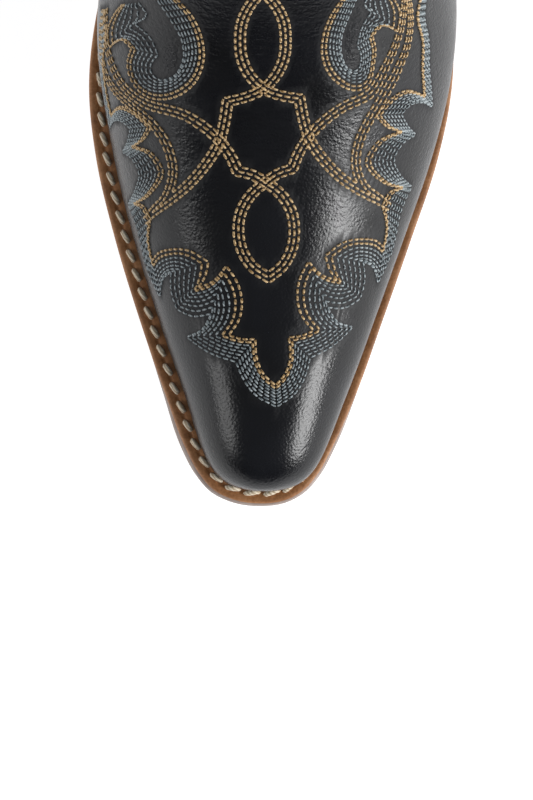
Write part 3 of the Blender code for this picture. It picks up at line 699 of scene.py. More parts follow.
WELT_END, RAND_START = 231.0, 233.0
WELT_PROFILE = [
    (0.5, WELT_LOW), (0.1, WELT_LOW + 0.4), (0.0, 6.4), (0.1, WELT_HIGH - 0.55), (0.5, WELT_HIGH - 0.12),
    (1.1, WELT_HIGH), (2.0, WELT_HIGH), (2.4, WELT_HIGH - 0.1), (2.9, WELT_HIGH - 0.35),
    (3.4, WELT_HIGH - 0.1), (3.8, WELT_HIGH), (WELT_WIDTH, WELT_HIGH), (WELT_WIDTH, WELT_LOW),
]
RAND_PROFILE = [(0.4, WELT_LOW), (0.0, WELT_LOW + 0.6), (0.0, WELT_HIGH - 0.6), (0.5, WELT_HIGH),
                (9.0, WELT_HIGH), (9.0, WELT_LOW)]


def edge_strip(name, profile, keep, finish):
    """A strip along the sole's edge, from an (inset, height) profile."""
    stations = sole_stations(keep, 2)
    return sweep(name, [raised(inset_plan(inset)[stations], height) for inset, height in profile], finish)


welt = edge_strip("welt_strip", WELT_PROFILE, lambda s: s < WELT_END, WELTING)
finish_piece(welt, stands_for=["welt"])
rand = edge_strip("heel_rand_strip", RAND_PROFILE, lambda s: s > RAND_START, WELTING)
finish_piece(rand, stands_for=["heel_rand"])


def plate(name, loops, finish):
    """A solid from closed loops, bottom to top, each running up one side and back down the other."""
    points = np.array(loops)
    layers, count = points.shape[:2]
    faces = [tuple(face) for face in grid_faces(layers, count, closed=True)]
    half = count // 2
    for layer in (0, layers - 1):
        base = layer * count
        for i in range(half):
            ring = [i, i + 1, (count - i - 1) % count, (count - i) % count]
            corners = list(dict.fromkeys(base + corner for corner in ring))
            if len(corners) > 2:
                faces.append(tuple(corners))
    return face_out(build(name, points.reshape(-1, 3), faces, finish))


OUTSOLE_PROFILE = [(1.2, 0.0), (0.4, 0.2), (0.1, 0.7), (0.1, 3.4), (0.5, 4.3), (1.0, WELT_LOW)]
TOE_FLARE, FLARE_SPAN = 1.1, (12.0, 45.0)


def flared(inset):
    """The outsole's edge stands out past the welt round the toe."""
    return lambda along: inset - TOE_FLARE * (1.0 - smoothstep(*FLARE_SPAN, along))


outsole = plate("outsole_bend",
                [raised(inset_plan(flared(inset))[::3], height) for inset, height in OUTSOLE_PROFILE], BEND)
finish_piece(outsole, stands_for=["outsole"])


# ------------------------------------------------------------------ the heel
HEEL_BREAST, HEEL_BREAST_FOOT, HEEL_BACK_FOOT = 236.0, 239.0, 293.0
HEEL_FOOT_WIDTH, HEEL_INSET, HEEL_END_TRIM = 0.87, 0.8, 0.3
CAP_THICK, LIFT_COUNT = 6.0, 4
LIFT_ROUNDING = 0.35
HEEL_EDGES = Edges(HEEL_INSET)
HEEL_TURN = np.sin(np.linspace(0.0, math.pi / 2, 40))
HEEL_BACK = HEEL_EDGES.end - HEEL_END_TRIM
HEEL_STATIONS = HEEL_BREAST + (HEEL_BACK - HEEL_BREAST) * HEEL_TURN
HEEL_SEAT = ground(HEEL_STATIONS)


def heel_loop(height, shrink):
    """Outline of the heel block at a height, which may differ along it, drawn in by shrink."""
    rise = height / HEEL_SEAT
    share = (HEEL_STATIONS - HEEL_BREAST) / (HEEL_BACK - HEEL_BREAST)
    breast = HEEL_BREAST_FOOT + (HEEL_BREAST - HEEL_BREAST_FOOT) * rise + shrink
    back = HEEL_BACK_FOOT + (HEEL_BACK - HEEL_BACK_FOOT) * rise - shrink
    along = breast + (back - breast) * share
    width = HEEL_FOOT_WIDTH + (1.0 - HEEL_FOOT_WIDTH) * rise
    lateral = np.column_stack([HEEL_EDGES.lateral(HEEL_STATIONS) * width - shrink, along, height])
    medial = np.column_stack([HEEL_EDGES.medial(HEEL_STATIONS) * width + shrink, along, height])
    return np.vstack([lateral, medial[::-1]])


def heel_layer(name, low, high, finish):
    r = LIFT_ROUNDING
    steps = [(low, r), (low + r, 0.0), (high - r, 0.0), (high, r)]
    loops = [heel_loop(height, shrink) for height, shrink in steps]
    points = np.array(loops)
    layers, count = points.shape[:2]
    faces = [tuple(face) for face in grid_faces(layers, count, closed=True)]
    for base in (0, (layers - 1) * count):
        faces += [(base + i, base + i + 1, base + count - i - 2, base + count - i - 1)
                  for i in range(count // 2 - 1)]
    return face_out(build(name, points.reshape(-1, 3), faces, finish))


flat = np.zeros_like(HEEL_STATIONS)
cap = heel_layer("heel_cap_rubber", flat, flat + CAP_THICK, RUBBER)
finish_piece(cap, stands_for=["heel_cap"])
for number in range(LIFT_COUNT):
    low = CAP_THICK + (HEEL_SEAT - CAP_THICK) * number / LIFT_COUNT
    high = CAP_THICK + (HEEL_SEAT - CAP_THICK) * (number + 1) / LIFT_COUNT
    lift = heel_layer(f"heel_lift_{number + 1}_leather", low, high, STACK)
    finish_piece(lift, stands_for=[f"heel_lift_{number + 1}"])


# ------------------------------------------------------- binding, piping, straps
BINDING_DROP, BINDING_THICK, BINDING_RISE = 6.0, 0.8, 1.2
BINDING_OUT, BINDING_IN = SHAFT_OFFSET + 0.5, LINING_OFFSET - LINING_THICK - 0.5


def binding_section():
    """The folded strip in section: (offset, height above the top line), outside over to inside."""
    out, inside, rise = BINDING_OUT + BINDING_THICK, BINDING_IN - BINDING_THICK, BINDING_RISE
    middle = 0.5 * (out + inside)
    reach = 0.5 * (out - inside)
    arch = [(middle + reach * math.cos(a), rise * math.sin(a)) for a in np.linspace(0.0, math.pi, 9)]
    outer = [(out - 0.3, -BINDING_DROP), (out, -BINDING_DROP + 0.4)]
    inner = [(inside, -BINDING_DROP + 0.4), (inside + 0.3, -BINDING_DROP)]
    return outer + arch + inner + [(BINDING_IN, -BINDING_DROP), (BINDING_OUT, -BINDING_DROP)]


def top_line_path(columns=40):
    """Points and outward normals round the top line, front and then back."""
    parts = []
    for panel in ("front", "back"):
        grid, normals = cage(panel, columns, shaft_heights, 6)
        line, outward = grid[-1], normals[-1]
        parts.append((line, outward) if panel == "front" else (line[::-1][1:-1], outward[::-1][1:-1]))
    return np.vstack([parts[0][0], parts[1][0]]), np.vstack([parts[0][1], parts[1][1]])


top_line, top_outward = top_line_path()
binding = sweep("top_binding_leather",
                [top_line + top_outward * offset + [0.0, 0.0, rise] for offset, rise in binding_section()],
                CALF, closed=True)
finish_piece(binding, stands_for=["top_binding"])

STRAP_WIDTH, STRAP_THICK, STRAP_LEG = 36.0, 1.4, 58.0
STRAP_OUTER, STRAP_INNER = 1.5, -7.3
LOOP_START, LOOP_SHOULDER, LOOP_RADIUS = 5.0, 17.0, 6.2
STRAP_COLUMNS = 24


def strap_point(side, across_strap, offset, height):
    """A point over the side seam: offset from the shaft's surface, height from its top line."""
    front, back, half_width = shaft_at(TOP_LINE + min(height, 0.0))
    drop = math.sqrt(1.0 - (across_strap / (0.5 * (back - front))) ** 2)
    return (SHAFT_X + side * (half_width * drop + offset), 0.5 * (front + back) + across_strap,
            ANKLE_FEATHER + TOP_LINE + height)


def strap_path():
    """The strap's outer face in section: up the outside, round the loop and down the inside."""
    middle = 0.5 * (STRAP_OUTER + STRAP_INNER - STRAP_THICK)
    outside = [(STRAP_OUTER, h) for h in np.linspace(-STRAP_LEG, -1.0, 14)]
    inside = [(STRAP_INNER - STRAP_THICK, h) for h in np.linspace(-1.0, -STRAP_LEG, 14)]
    arc = [(middle + LOOP_RADIUS * math.cos(a), LOOP_SHOULDER + LOOP_RADIUS * math.sin(a))
           for a in np.linspace(0.0, math.pi, 11)]
    path = outside + [(STRAP_OUTER, LOOP_START)] + arc + [(STRAP_INNER - STRAP_THICK, LOOP_START)] + inside
    path = np.array(path)
    along = walked(path)
    dense = np.linspace(0.0, along[-1], 90)
    return np.column_stack([smooth(np.column_stack([along, axis]), dense) for axis in path.T])


straps = []
for name, side in (("medial", -1), ("lateral", 1)):
    places = np.linspace(-0.5, 0.5, STRAP_COLUMNS + 1) * STRAP_WIDTH
    points = np.array([[strap_point(side, place, offset, height) for place in places]
                       for offset, height in strap_path()])
    strap = build(f"{name}_pull_strap", points.reshape(-1, 3),
                  grid_faces(*points.shape[:2], flip=side < 0), CALF)
    thicken(strap, STRAP_THICK)
    straps.append((strap, side))
    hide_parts(f"{name}_strap_outer_leg", f"{name}_strap_inner_leg", f"{name}_strap_loop")
    start, end = to_world([strap_point(side, 0.0, 0.0, 0.0), strap_point(side, 0.0, 0.0, LOOP_START)])
    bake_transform(strap)


PIPING_RADIUS, PIPING_OFFSET, PIPING_GAP = 1.2, -0.6, 2.0
for name, column in (("medial", 0), ("lateral", -1)):
    leather, grid, normals = shafts["front"]
    line = grid[:, column] + normals[:, column] * PIPING_OFFSET
    top = TOP_LINE + ANKLE_FEATHER - STRAP_LEG - PIPING_GAP
    line = line[line[:, 2] < top]
    piping = tube(f"side_piping_{name}_cord", resample(line, np.linspace(PIPING_GAP, walked(line)[-1], 60)),
                  PIPING_RADIUS, CALF)
    finish_piece(piping, stands_for=[f"side_piping_{name}"])


# ------------------------------------------------------- carried-over CAD nodes
CARRIED = {
    "toe_puff": BOARD, "counter_stiffener": BOARD, "insole": BOARD, "cork_filler": CORK, "shank": STEEL,
    "vamp_lining": LINING, "heel_lining": LINING, "sock_liner": LINING,
}
CARRIED.update({f"heel_nail_{number}": BRASS for number in range(1, 6)})
for node, finish in CARRIED.items():
    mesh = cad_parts[node].data
    mesh.materials.clear()
    mesh.materials.append(finish)


# -------------------------------------------------------------------- stitching
class Leather:
    """The surface of a piece, to sew on."""

    def __init__(self, piece):
        mesh = piece.data
        self.tree = BVHTree.FromPolygons([v.co for v in mesh.vertices], [p.vertices for p in mesh.polygons])

    def snap(self, points):
        """The nearest surface points and their normals."""
        found = [self.tree.find_nearest(Vector(point)) for point in to_world(points)]
        return from_world([hit[0] for hit in found]), np.array([hit[1] for hit in found])


class Sheet(Leather):
    """Flat pattern coordinates of a leather piece: (across from its middle line, place along it)."""

    REACH = 150.0
    STEP = 1.0
    RAY = 0.4

    def __init__(self, piece, places, slices):
        super().__init__(piece)
        rows, kept = [], []
        for place, (origin, directions) in zip(places, slices):
            row = self.cast(origin, directions)
            if row is not None:
                rows.append(row)
                kept.append(place)
        self.rows = np.array(rows)
        middle = self.rows[:, self.rows.shape[1] // 2]
        self.along = walked(middle) + kept[0]

    def cast(self, origin, directions):
        """Evenly spaced points of one slice, found from outside towards its middle."""
        centre = Vector(to_world([origin])[0])
        hits = []
        for direction in directions:
            ray = Vector(direction)
            hit = self.tree.ray_cast(centre + ray * self.RAY, -ray, self.RAY)[0]
            hits.append(from_world(hit) if hit is not None else np.full(3, np.nan))
        hits = np.array(hits)
        middle = len(hits) // 2
        if np.isnan(hits[middle]).any():
            return None
        halves = []
        for half in (hits[middle::-1], hits[middle:]):
            found = half[~np.isnan(half[:, 0])]
            halves.append(resample(found, np.arange(0.0, self.REACH, self.STEP)))
        return np.vstack([halves[0][:0:-1], halves[1]])

    def lay(self, flat_points):
        """Points in boot space for flat pattern points."""
        across = np.clip(flat_points[:, 0] / self.STEP + self.REACH / self.STEP - 1.0, 0,
                         self.rows.shape[1] - 1.001)
        place = np.interp(flat_points[:, 1], self.along, np.arange(len(self.along)))
        place = np.clip(place, 0.0, len(self.along) - 1.001)
        r, c = place.astype(int), across.astype(int)
        fr, fc = (place - r)[:, None], (across - c)[:, None]
        near = self.rows[r, c] * (1 - fc) + self.rows[r, c + 1] * fc
        far = self.rows[r + 1, c] * (1 - fc) + self.rows[r + 1, c + 1] * fc
        return near * (1 - fr) + far * fr


FAN_ANGLE = 1.8
VAMP_SLICES = (4.0, 190.0, 1.5)
SHAFT_SLICES = (110.0, 335.0, 3.0)
FAN_HEIGHT = 6.0


def fan(middle, edge, count=121):
    """Directions in one plane, spread evenly about the middle one."""
    angles = np.linspace(-FAN_ANGLE, FAN_ANGLE, count)
    middle, edge = np.array(middle), np.array(edge)
    return [middle * math.cos(angle) + edge * math.sin(angle) for angle in angles]


def vamp_sheet():
    places = np.arange(*VAMP_SLICES)
    centre = 0.5 * (FEATHER.lateral(places) + FEATHER.medial(places))
    up = ground(places) + UPPER_LOW + FAN_HEIGHT
    directions = fan((0.0, 0.0, 1.0), (1.0, 0.0, 0.0))
    return Sheet(vamp, places, [(origin, directions) for origin in np.column_stack([centre, places, up])])


def shaft_sheet(panel):
    places = np.arange(*SHAFT_SLICES)
    sections = [shaft_at(max(place - ANKLE_FEATHER, SHAFT_SECTIONS[0][0])) for place in places]
    origins = [(SHAFT_X, 0.5 * (front + back), place) for (front, back, _), place in zip(sections, places)]
    facing = -1.0 if panel == "front" else 1.0
    directions = fan((0.0, facing, 0.0), (1.0, 0.0, 0.0))
    return Sheet(shafts[panel][0], places, [(origin, directions) for origin in origins])


def curve(points, spacing=0.7):
    """A smooth dense curve through flat points."""
    points = np.array(points, dtype=float)
    along = walked(points)
    dense = np.linspace(0.0, along[-1], max(int(along[-1] / spacing), 4))
    return np.column_stack([smooth(np.column_stack([along, axis]), dense) for axis in points.T])


def offset_row(path, distance):
    """The path moved sideways."""
    forward = unit(np.gradient(path, axis=0))
    return path + np.column_stack([-forward[:, 1], forward[:, 0]]) * distance


def lengthened(path, reach):
    """The path with a straight piece added at each end."""
    first, last = unit(path[0] - path[1]), unit(path[-1] - path[-2])
    return np.vstack([path[0] + first * reach, path, path[-1] + last * reach])


def trimmed_at_crossing(first, second):
    """Two paths cut where the end of the first crosses the start of the second."""
    p, r = first[:-1, None], np.diff(first, axis=0)[:, None]
    q, s = second[None, :-1], np.diff(second, axis=0)[None]
    span = r[..., 0] * s[..., 1] - r[..., 1] * s[..., 0]
    span = np.where(np.abs(span) < 1e-9, np.inf, span)
    gap = q - p
    f = (gap[..., 0] * s[..., 1] - gap[..., 1] * s[..., 0]) / span
    g = (gap[..., 0] * r[..., 1] - gap[..., 1] * r[..., 0]) / span
    hits = np.argwhere((f >= 0) & (f <= 1) & (g >= 0) & (g <= 1) & np.isfinite(span))
    if not len(hits):
        return first, second
    i, j = max(hits, key=lambda hit: hit[0] - hit[1])
    corner = (p[i, 0] + r[i, 0] * f[i, j])[None]
    return np.vstack([first[: i + 1], corner]), np.vstack([corner, second[j + 1:]])


def mitred(curves, distance):
    """Curves that meet in corners, moved sideways with their corners kept sharp."""
    rows = [lengthened(offset_row(curve(points), distance), MITRE_REACH) for points in curves]
    for i in range(len(rows) - 1):
        rows[i], rows[i + 1] = trimmed_at_crossing(rows[i], rows[i + 1])
    rows[0], rows[-1] = rows[0][1:], rows[-1][:-1]
    return rows


def ribbon_row(ribbon, distance, pointed):
    """One row of a ribbon; a pointed ribbon meets its mirror image in a corner at its start."""
    if not pointed:
        return mitred(ribbon, distance)
    mirror = [(-away, along) for away, along in ribbon[0]][::-1]
    return mitred([mirror] + ribbon, distance)[1:]


def between(inner, outer, share):
    """A row between two outlines made of matching curves, with a corner at each joint."""
    joined = []
    for near, far in zip(inner, outer):
        near, far = curve(near), curve(far)
        f = np.linspace(0.0, 1.0, max(len(near), len(far)))
        near = np.column_stack([np.interp(f, np.linspace(0, 1, len(near)), axis) for axis in near.T])
        far = np.column_stack([np.interp(f, np.linspace(0, 1, len(far)), axis) for axis in far.T])
        joined.append(near * (1.0 - share) + far * share)
    return joined


class Needlework:
    """All stitches of one thread: where each starts and ends and which way is up."""

    def __init__(self):
        self.starts, self.ends, self.ups = [], [], []

    def sew(self, leather, line, pitch, gap):
        """A row of stitches of even length along a line on a piece of leather."""
        length = walked(line)[-1]
        count = max(int(round(length / pitch)), 1)
        pitch = length / count
        firsts = np.arange(count) * pitch
        starts, ups = leather.snap(resample(line, firsts + 0.5 * gap))
        ends, _ = leather.snap(resample(line, firsts + pitch - 0.5 * gap))
        self.starts.append(starts)
        self.ends.append(ends)
        self.ups.append(ups)

    def make(self, name, radius, finish, slot, sides=6):
        starts, ends, ups = (np.vstack(part) for part in (self.starts, self.ends, self.ups))
        return finish_piece(stitch_mesh(name, starts, ends, ups, radius, finish, sides))


# Along a stitch: (share of its length, share of its radius, rise in radii).
STITCH_STATIONS = [(0.0, 0.45, -0.55), (0.14, 0.85, 0.2), (0.5, 1.0, 0.55), (0.86, 0.85, 0.2),
                   (1.0, 0.45, -0.55)]
STITCH_FLATTENING = 0.8


def stitch_mesh(name, starts, ends, ups, radius, finish, sides):
    """Short threads that rise out of one needle hole and dip into the next."""
    forward = unit(ends - starts)
    side = unit(np.cross(forward, ups))
    turn = np.linspace(0.0, 2.0 * math.pi, sides, endpoint=False)
    rings = []
    for share, swell, rise in STITCH_STATIONS:
        middle = starts + (ends - starts) * share + ups * radius * rise
        for angle in turn:
            around = side * math.cos(angle) + STITCH_FLATTENING * ups * math.sin(angle)
            rings.append(middle + radius * swell * around)
    points = np.stack(rings, axis=1).reshape(-1, 3)
    block = len(rings)
    pattern = [tuple(face) for face in grid_faces(len(STITCH_STATIONS), sides, closed=True)]
    pattern += [tuple(range(sides))[::-1], tuple(range(block - sides, block))]
    bases = np.arange(len(starts)) * block
    faces = []
    for face in pattern:
        faces += (bases[:, None] + np.array(face)).tolist()
    return face_out(build(name, points, faces, finish))


# The vamp's design is mirrored about an axis that leans to the inner side as it climbs.
AXIS_FOOT, AXIS_FOOT_PLACE, AXIS_LEAN, CROSS_LEAN = 2.3, 41.5, 0.0925, 0.06
ROW_GAP = 1.3
MITRE_REACH = 5.0
SPREAD_AWAY, SPREAD_ALONG = (18.0, 40.0), (112.0, 135.0)
RIBBON_SPREAD, SCROLL_SPREAD, FLAME_SPREAD = 0.15, 0.15, 0.07
RIBBON_PITCH, FILL_PITCH, VAMP_STITCH_GAP = 2.3, 2.0, 0.36
GOLD_RADIUS, SLATE_RADIUS = 0.35, 0.28


def on_vamp(points, side, spread):
    """Flat vamp points from design points (from the axis, along it); the inner side spreads wider."""
    away, along = points[:, 0], points[:, 1]
    grow = spread * smoothstep(*SPREAD_AWAY, away) * smoothstep(*SPREAD_ALONG, along)
    away = side * away * (1.0 - side * grow)
    return np.column_stack([AXIS_FOOT - AXIS_LEAN * (along - AXIS_FOOT_PLACE) + away,
                            along + CROSS_LEAN * away])


# Ribbons of three rows.  Each starts in the far half of an oval, crosses the axis and turns
# sharply at each joint of its curves.
HIGH_RIBBON = [
    [(0.0, 158.5), (-3.2, 154.0), (-5.5, 148.0), (-6.0, 142.0), (-5.7, 137.0), (-3.6, 131.0), (0.0, 126.6),
     (4.5, 124.4), (9.6, 123.2)],
    [(9.6, 123.2), (10.6, 117.0), (12.2, 111.0), (16.0, 104.8), (22.0, 98.6), (28.5, 94.6), (35.5, 91.6)],
    [(35.5, 91.6), (29.0, 96.0), (26.2, 102.5), (27.5, 110.0), (31.5, 116.5), (39.0, 123.4), (47.5, 130.3),
     (53.5, 137.5), (56.5, 147.0), (55.5, 158.0)],
]
LOW_RIBBON = [
    [(0.0, 71.6), (-3.9, 74.5), (-6.8, 79.5), (-7.6, 84.7), (-6.9, 90.0), (-3.8, 95.5), (0.0, 98.8),
     (3.5, 101.2), (7.4, 102.4)],
    [(7.4, 102.4), (9.2, 107.0), (12.2, 111.8), (20.8, 119.3), (34.0, 124.5), (44.0, 133.5), (51.0, 145.0),
     (54.0, 158.0)],
]

# A scroll: the outer outline is gold and the rows turn slate towards the inner one.
SCROLL_OUTER = [
    [(24.0, 158.0), (18.6, 150.0), (16.1, 142.0), (16.0, 136.0), (19.0, 129.0), (25.4, 125.2),
     (31.0, 125.6), (35.0, 128.4), (37.6, 133.0), (38.6, 138.0), (37.0, 142.3)],
    [(37.0, 142.3), (42.0, 145.8), (49.0, 143.7)],
    [(49.0, 143.7), (50.5, 150.0), (46.5, 155.6), (43.0, 158.0)],
]
SCROLL_INNER = [
    [(29.5, 158.0), (25.0, 150.0), (21.8, 142.0), (21.8, 136.5), (24.4, 131.8), (28.0, 131.0),
     (30.4, 133.2), (30.6, 136.4), (28.6, 139.2)],
    [(28.6, 139.2), (31.0, 145.0), (36.5, 150.5)],
    [(36.5, 150.5), (32.5, 152.5), (36.0, 158.0)],
]
# The flame border: the same corners on its gold side and on its slate side.
FLAME_GOLD = [
    [(0.0, 41.4), (3.0, 44.6), (4.6, 49.0), (4.6, 54.6)],
    [(4.6, 54.6), (8.0, 54.7), (11.8, 56.0)],
    [(11.8, 56.0), (8.5, 60.5), (7.6, 66.0), (8.7, 71.0), (11.3, 75.4)],
    [(11.3, 75.4), (14.8, 71.5), (20.0, 69.5)],
    [(20.0, 69.5), (17.6, 72.5), (16.3, 76.8)],
    [(16.3, 76.8), (22.0, 80.2), (28.8, 80.8), (34.5, 79.9), (38.2, 77.8)],
    [(38.2, 77.8), (38.8, 84.0), (36.3, 90.0)],
    [(36.3, 90.0), (39.0, 93.6), (45.0, 94.8)],
    [(45.0, 94.8), (36.0, 97.0), (29.6, 103.3), (33.2, 108.6), (43.0, 111.8)],
    [(43.0, 111.8), (37.0, 113.6), (33.3, 117.0)],
    [(33.3, 117.0), (39.0, 121.4), (47.0, 124.2), (56.0, 122.3)],
    [(56.0, 122.3), (57.0, 131.0), (58.0, 140.0), (55.5, 148.0), (59.5, 158.0)],
]
FLAME_SLATE = [
    [(0.0, 35.5), (5.3, 38.8), (8.9, 44.2), (10.3, 48.5)],
    [(10.3, 48.5), (17.8, 51.2), (25.8, 55.9)],
    [(25.8, 55.9), (19.5, 58.0), (16.4, 62.2)],
    [(16.4, 62.2), (22.0, 61.6), (28.6, 63.8)],
    [(28.6, 63.8), (30.2, 69.0), (29.3, 74.4)],
    [(29.3, 74.4), (33.6, 72.5), (36.8, 67.6)],
    [(36.8, 67.6), (43.0, 76.0), (45.2, 87.0)],
    [(45.2, 87.0), (47.4, 91.0), (50.5, 94.8)],
    [(50.5, 94.8), (43.8, 98.6), (40.5, 103.3), (43.5, 107.5), (50.5, 110.5)],
    [(50.5, 110.5), (46.6, 113.0), (43.6, 117.0)],
    [(43.6, 117.0), (48.6, 119.8), (55.0, 120.2), (60.5, 118.6)],
    [(60.5, 118.6), (61.3, 130.0), (62.0, 140.0), (60.0, 148.0), (63.5, 158.0)],
]
SCROLL_ROWS, FLAME_ROWS, GOLD_ROWS = 7, 8, 2

gold, slate = Needlework(), Needlework()
sheet = vamp_sheet()
for side in (-1, 1):
    for ribbon, pointed in ((HIGH_RIBBON, False), (LOW_RIBBON, True)):
        for row in (-1, 0, 1):
            for path in ribbon_row(ribbon, row * ROW_GAP, pointed):
                line = sheet.lay(on_vamp(path, side, RIBBON_SPREAD))
                gold.sew(sheet, line, RIBBON_PITCH, VAMP_STITCH_GAP)
    for near, far, rows, spread in ((SCROLL_OUTER, SCROLL_INNER, SCROLL_ROWS, SCROLL_SPREAD),
                                    (FLAME_GOLD, FLAME_SLATE, FLAME_ROWS, FLAME_SPREAD)):
        for row in range(rows):
            thread = gold if row < GOLD_ROWS else slate
            for path in between(near, far, row / (rows - 1)):
                thread.sew(sheet, sheet.lay(on_vamp(path, side, spread)), FILL_PITCH, VAMP_STITCH_GAP)
gold.make("vamp_embroidery_gold", GOLD_RADIUS, GOLD_THREAD, "cream_thread")
slate.make("vamp_embroidery_slate", SLATE_RADIUS, SLATE_THREAD, "cream_thread")

PUCKER_NEAR, PUCKER_FAR = 0.7, 1.5


def mark_stitched(piece, *threads):
    """Mark the leather near stitches, where it puckers and loses its gloss."""
    holes = to_world(np.vstack([part for thread in threads for part in thread.starts + thread.ends]))
    tree = KDTree(len(holes))
    for index, hole in enumerate(holes):
        tree.insert(hole, index)
    tree.balance()
    reach = np.array([tree.find(vertex.co)[2] for vertex in piece.data.vertices]) / MM
    marks = piece.data.attributes.new(STITCHED, "FLOAT", "POINT")
    marks.data.foreach_set("value", 1.0 - smoothstep(PUCKER_NEAR, PUCKER_FAR, reach))


mark_stitched(vamp, gold, slate)

SHAFT_PITCH, SHAFT_STITCH_GAP, SHAFT_ROW_GAP = 2.8, 0.35, 1.7
SHAFT_GOLD_RADIUS, SHAFT_SLATE_RADIUS = 0.38, 0.34
SHAFT_CHAIN = [
    [(0.0, 140.0), (-7.0, 152.0), (-9.5, 166.0), (-6.5, 181.0), (0.0, 192.0), (7.5, 204.0), (11.0, 219.0),
     (8.0, 236.0), (0.0, 249.0), (-6.0, 260.0), (-8.5, 272.0), (-6.0, 284.0), (0.0, 293.0)],
]
SHAFT_LEAF = [
    [(30.0, 300.0), (22.0, 284.0), (20.0, 266.0), (25.0, 248.0), (33.0, 232.0), (35.0, 214.0),
     (29.0, 196.0), (17.0, 180.0)],
    [(17.0, 180.0), (33.0, 184.0), (44.0, 196.0), (48.0, 214.0), (45.0, 234.0), (38.0, 250.0),
     (36.0, 264.0), (42.0, 280.0), (52.0, 290.0)],
]
SHAFT_FLAME_GOLD = [
    [(8.0, 128.0), (16.0, 138.0), (18.0, 150.0)],
    [(18.0, 150.0), (26.0, 146.0), (34.0, 147.0)],
    [(34.0, 147.0), (32.0, 156.0), (35.0, 166.0)],
    [(35.0, 166.0), (44.0, 164.0), (52.0, 168.0)],
    [(52.0, 168.0), (50.0, 180.0), (54.0, 192.0), (60.0, 204.0)],
    [(60.0, 204.0), (55.0, 220.0), (56.0, 238.0), (64.0, 256.0)],
]
SHAFT_FLAME_SLATE = [
    [(14.0, 116.0), (24.0, 124.0), (27.0, 136.0)],
    [(27.0, 136.0), (36.0, 131.0), (46.0, 132.0)],
    [(46.0, 132.0), (43.0, 142.0), (45.0, 151.0)],
    [(45.0, 151.0), (53.0, 149.0), (62.0, 152.0)],
    [(62.0, 152.0), (60.0, 166.0), (63.0, 180.0), (69.0, 196.0)],
    [(69.0, 196.0), (65.0, 214.0), (66.0, 234.0), (70.0, 248.0)],
]
SHAFT_FLAME_ROWS = 7
shaft_gold, shaft_slate = Needlework(), Needlework()
for panel in ("front", "back"):
    shaft = shaft_sheet(panel)
    for side in (-1, 1):
        rows = [(shaft_gold, path) for row in (-1, 0, 1) for ribbon in (SHAFT_CHAIN, SHAFT_LEAF)
                for path in mitred(ribbon, row * SHAFT_ROW_GAP)]
        for row in range(SHAFT_FLAME_ROWS):
            thread = shaft_gold if row < GOLD_ROWS else shaft_slate
            rows += [(thread, path) for path in
                     between(SHAFT_FLAME_GOLD, SHAFT_FLAME_SLATE, row / (SHAFT_FLAME_ROWS - 1))]
        for thread, path in rows:
            thread.sew(shaft, shaft.lay(path * [side, 1.0]), SHAFT_PITCH, SHAFT_STITCH_GAP)
shaft_gold.make("shaft_embroidery_gold", SHAFT_GOLD_RADIUS, GOLD_THREAD, "cream_thread")
shaft_slate.make("shaft_embroidery_slate", SHAFT_SLATE_RADIUS, SLATE_THREAD, "cream_thread")

# Seams: rows of black thread inside the edges of the vamp, the counter, the straps and the binding.
SEAM_PITCH, SEAM_STITCH_GAP, SEAM_RADIUS = 2.6, 0.5, 0.32
SEAM_DROPS = (1.8, 4.2)
SEAM_SHARES = np.linspace(-0.97, 0.97, 61)
PIPING_SEAM, SEAM_START, SEAM_STOP = 3.6, 8.0, 3.0
BINDING_SEAM_DROP = 4.4
STRAP_SEAMS = (1.8, 3.8)
seams = Needlework()
for panel, piece in (("front", vamp), ("back", counter)):
    for drop in SEAM_DROPS:
        line = np.array([upper_point(panel, 1 if share >= 0 else -1, abs(share),
                                     seam_height(panel, abs(share)) - drop) for share in SEAM_SHARES])
        seams.sew(Leather(piece), line, SEAM_PITCH, SEAM_STITCH_GAP)
binding_seam = top_line + top_outward * (BINDING_OUT + BINDING_THICK) - [0.0, 0.0, BINDING_SEAM_DROP]
seams.sew(Leather(binding), binding_seam, SEAM_PITCH, SEAM_STITCH_GAP)
for panel in ("front", "back"):
    leather, grid, normals = shafts[panel]
    surface = Leather(leather)
    for column, inward in ((0, 1), (-1, -2)):
        edge, inner = grid[:, column], grid[:, inward]
        line = edge + unit(inner - edge) * PIPING_SEAM
        below_strap = line[:, 2] < TOP_LINE + ANKLE_FEATHER - STRAP_LEG - SEAM_STOP
        above_foot = line[:, 2] > line[0, 2] + SEAM_START
        line = line[below_strap & above_foot]
        seams.sew(surface, line, SEAM_PITCH, SEAM_STITCH_GAP)
for strap, side in straps:
    surface = Leather(strap)
    reach = 0.5 * STRAP_WIDTH
    for inset in STRAP_SEAMS:
        low, wide = -STRAP_LEG + inset, reach - inset
        corners = [(-wide, -1.0), (-wide, low), (wide, low), (wide, -1.0)]
        for first, last in zip(corners, corners[1:]):
            path = np.linspace(first, last, STRAP_COLUMNS)
            line = np.array([strap_point(side, place, STRAP_OUTER, height) for place, height in path])
            seams.sew(surface, line, SEAM_PITCH, SEAM_STITCH_GAP)
seams.make("seam_stitching_black", SEAM_RADIUS, BLACK_THREAD, "black_leather")


# The welt's lockstitch: fat slanted stitches, each from a hole at its outer end.
WELT_PITCH, WELT_STITCH_LENGTH, WELT_SLANT = 5.6, 5.1, 1.15
WELT_GROOVE = 2.35
LATERAL_TUCK, TUCK_RISE, TUCK_FALL = 1.3, (8.0, 22.0), (92.0, 112.0)
WELT_THREAD_RADIUS = 0.8


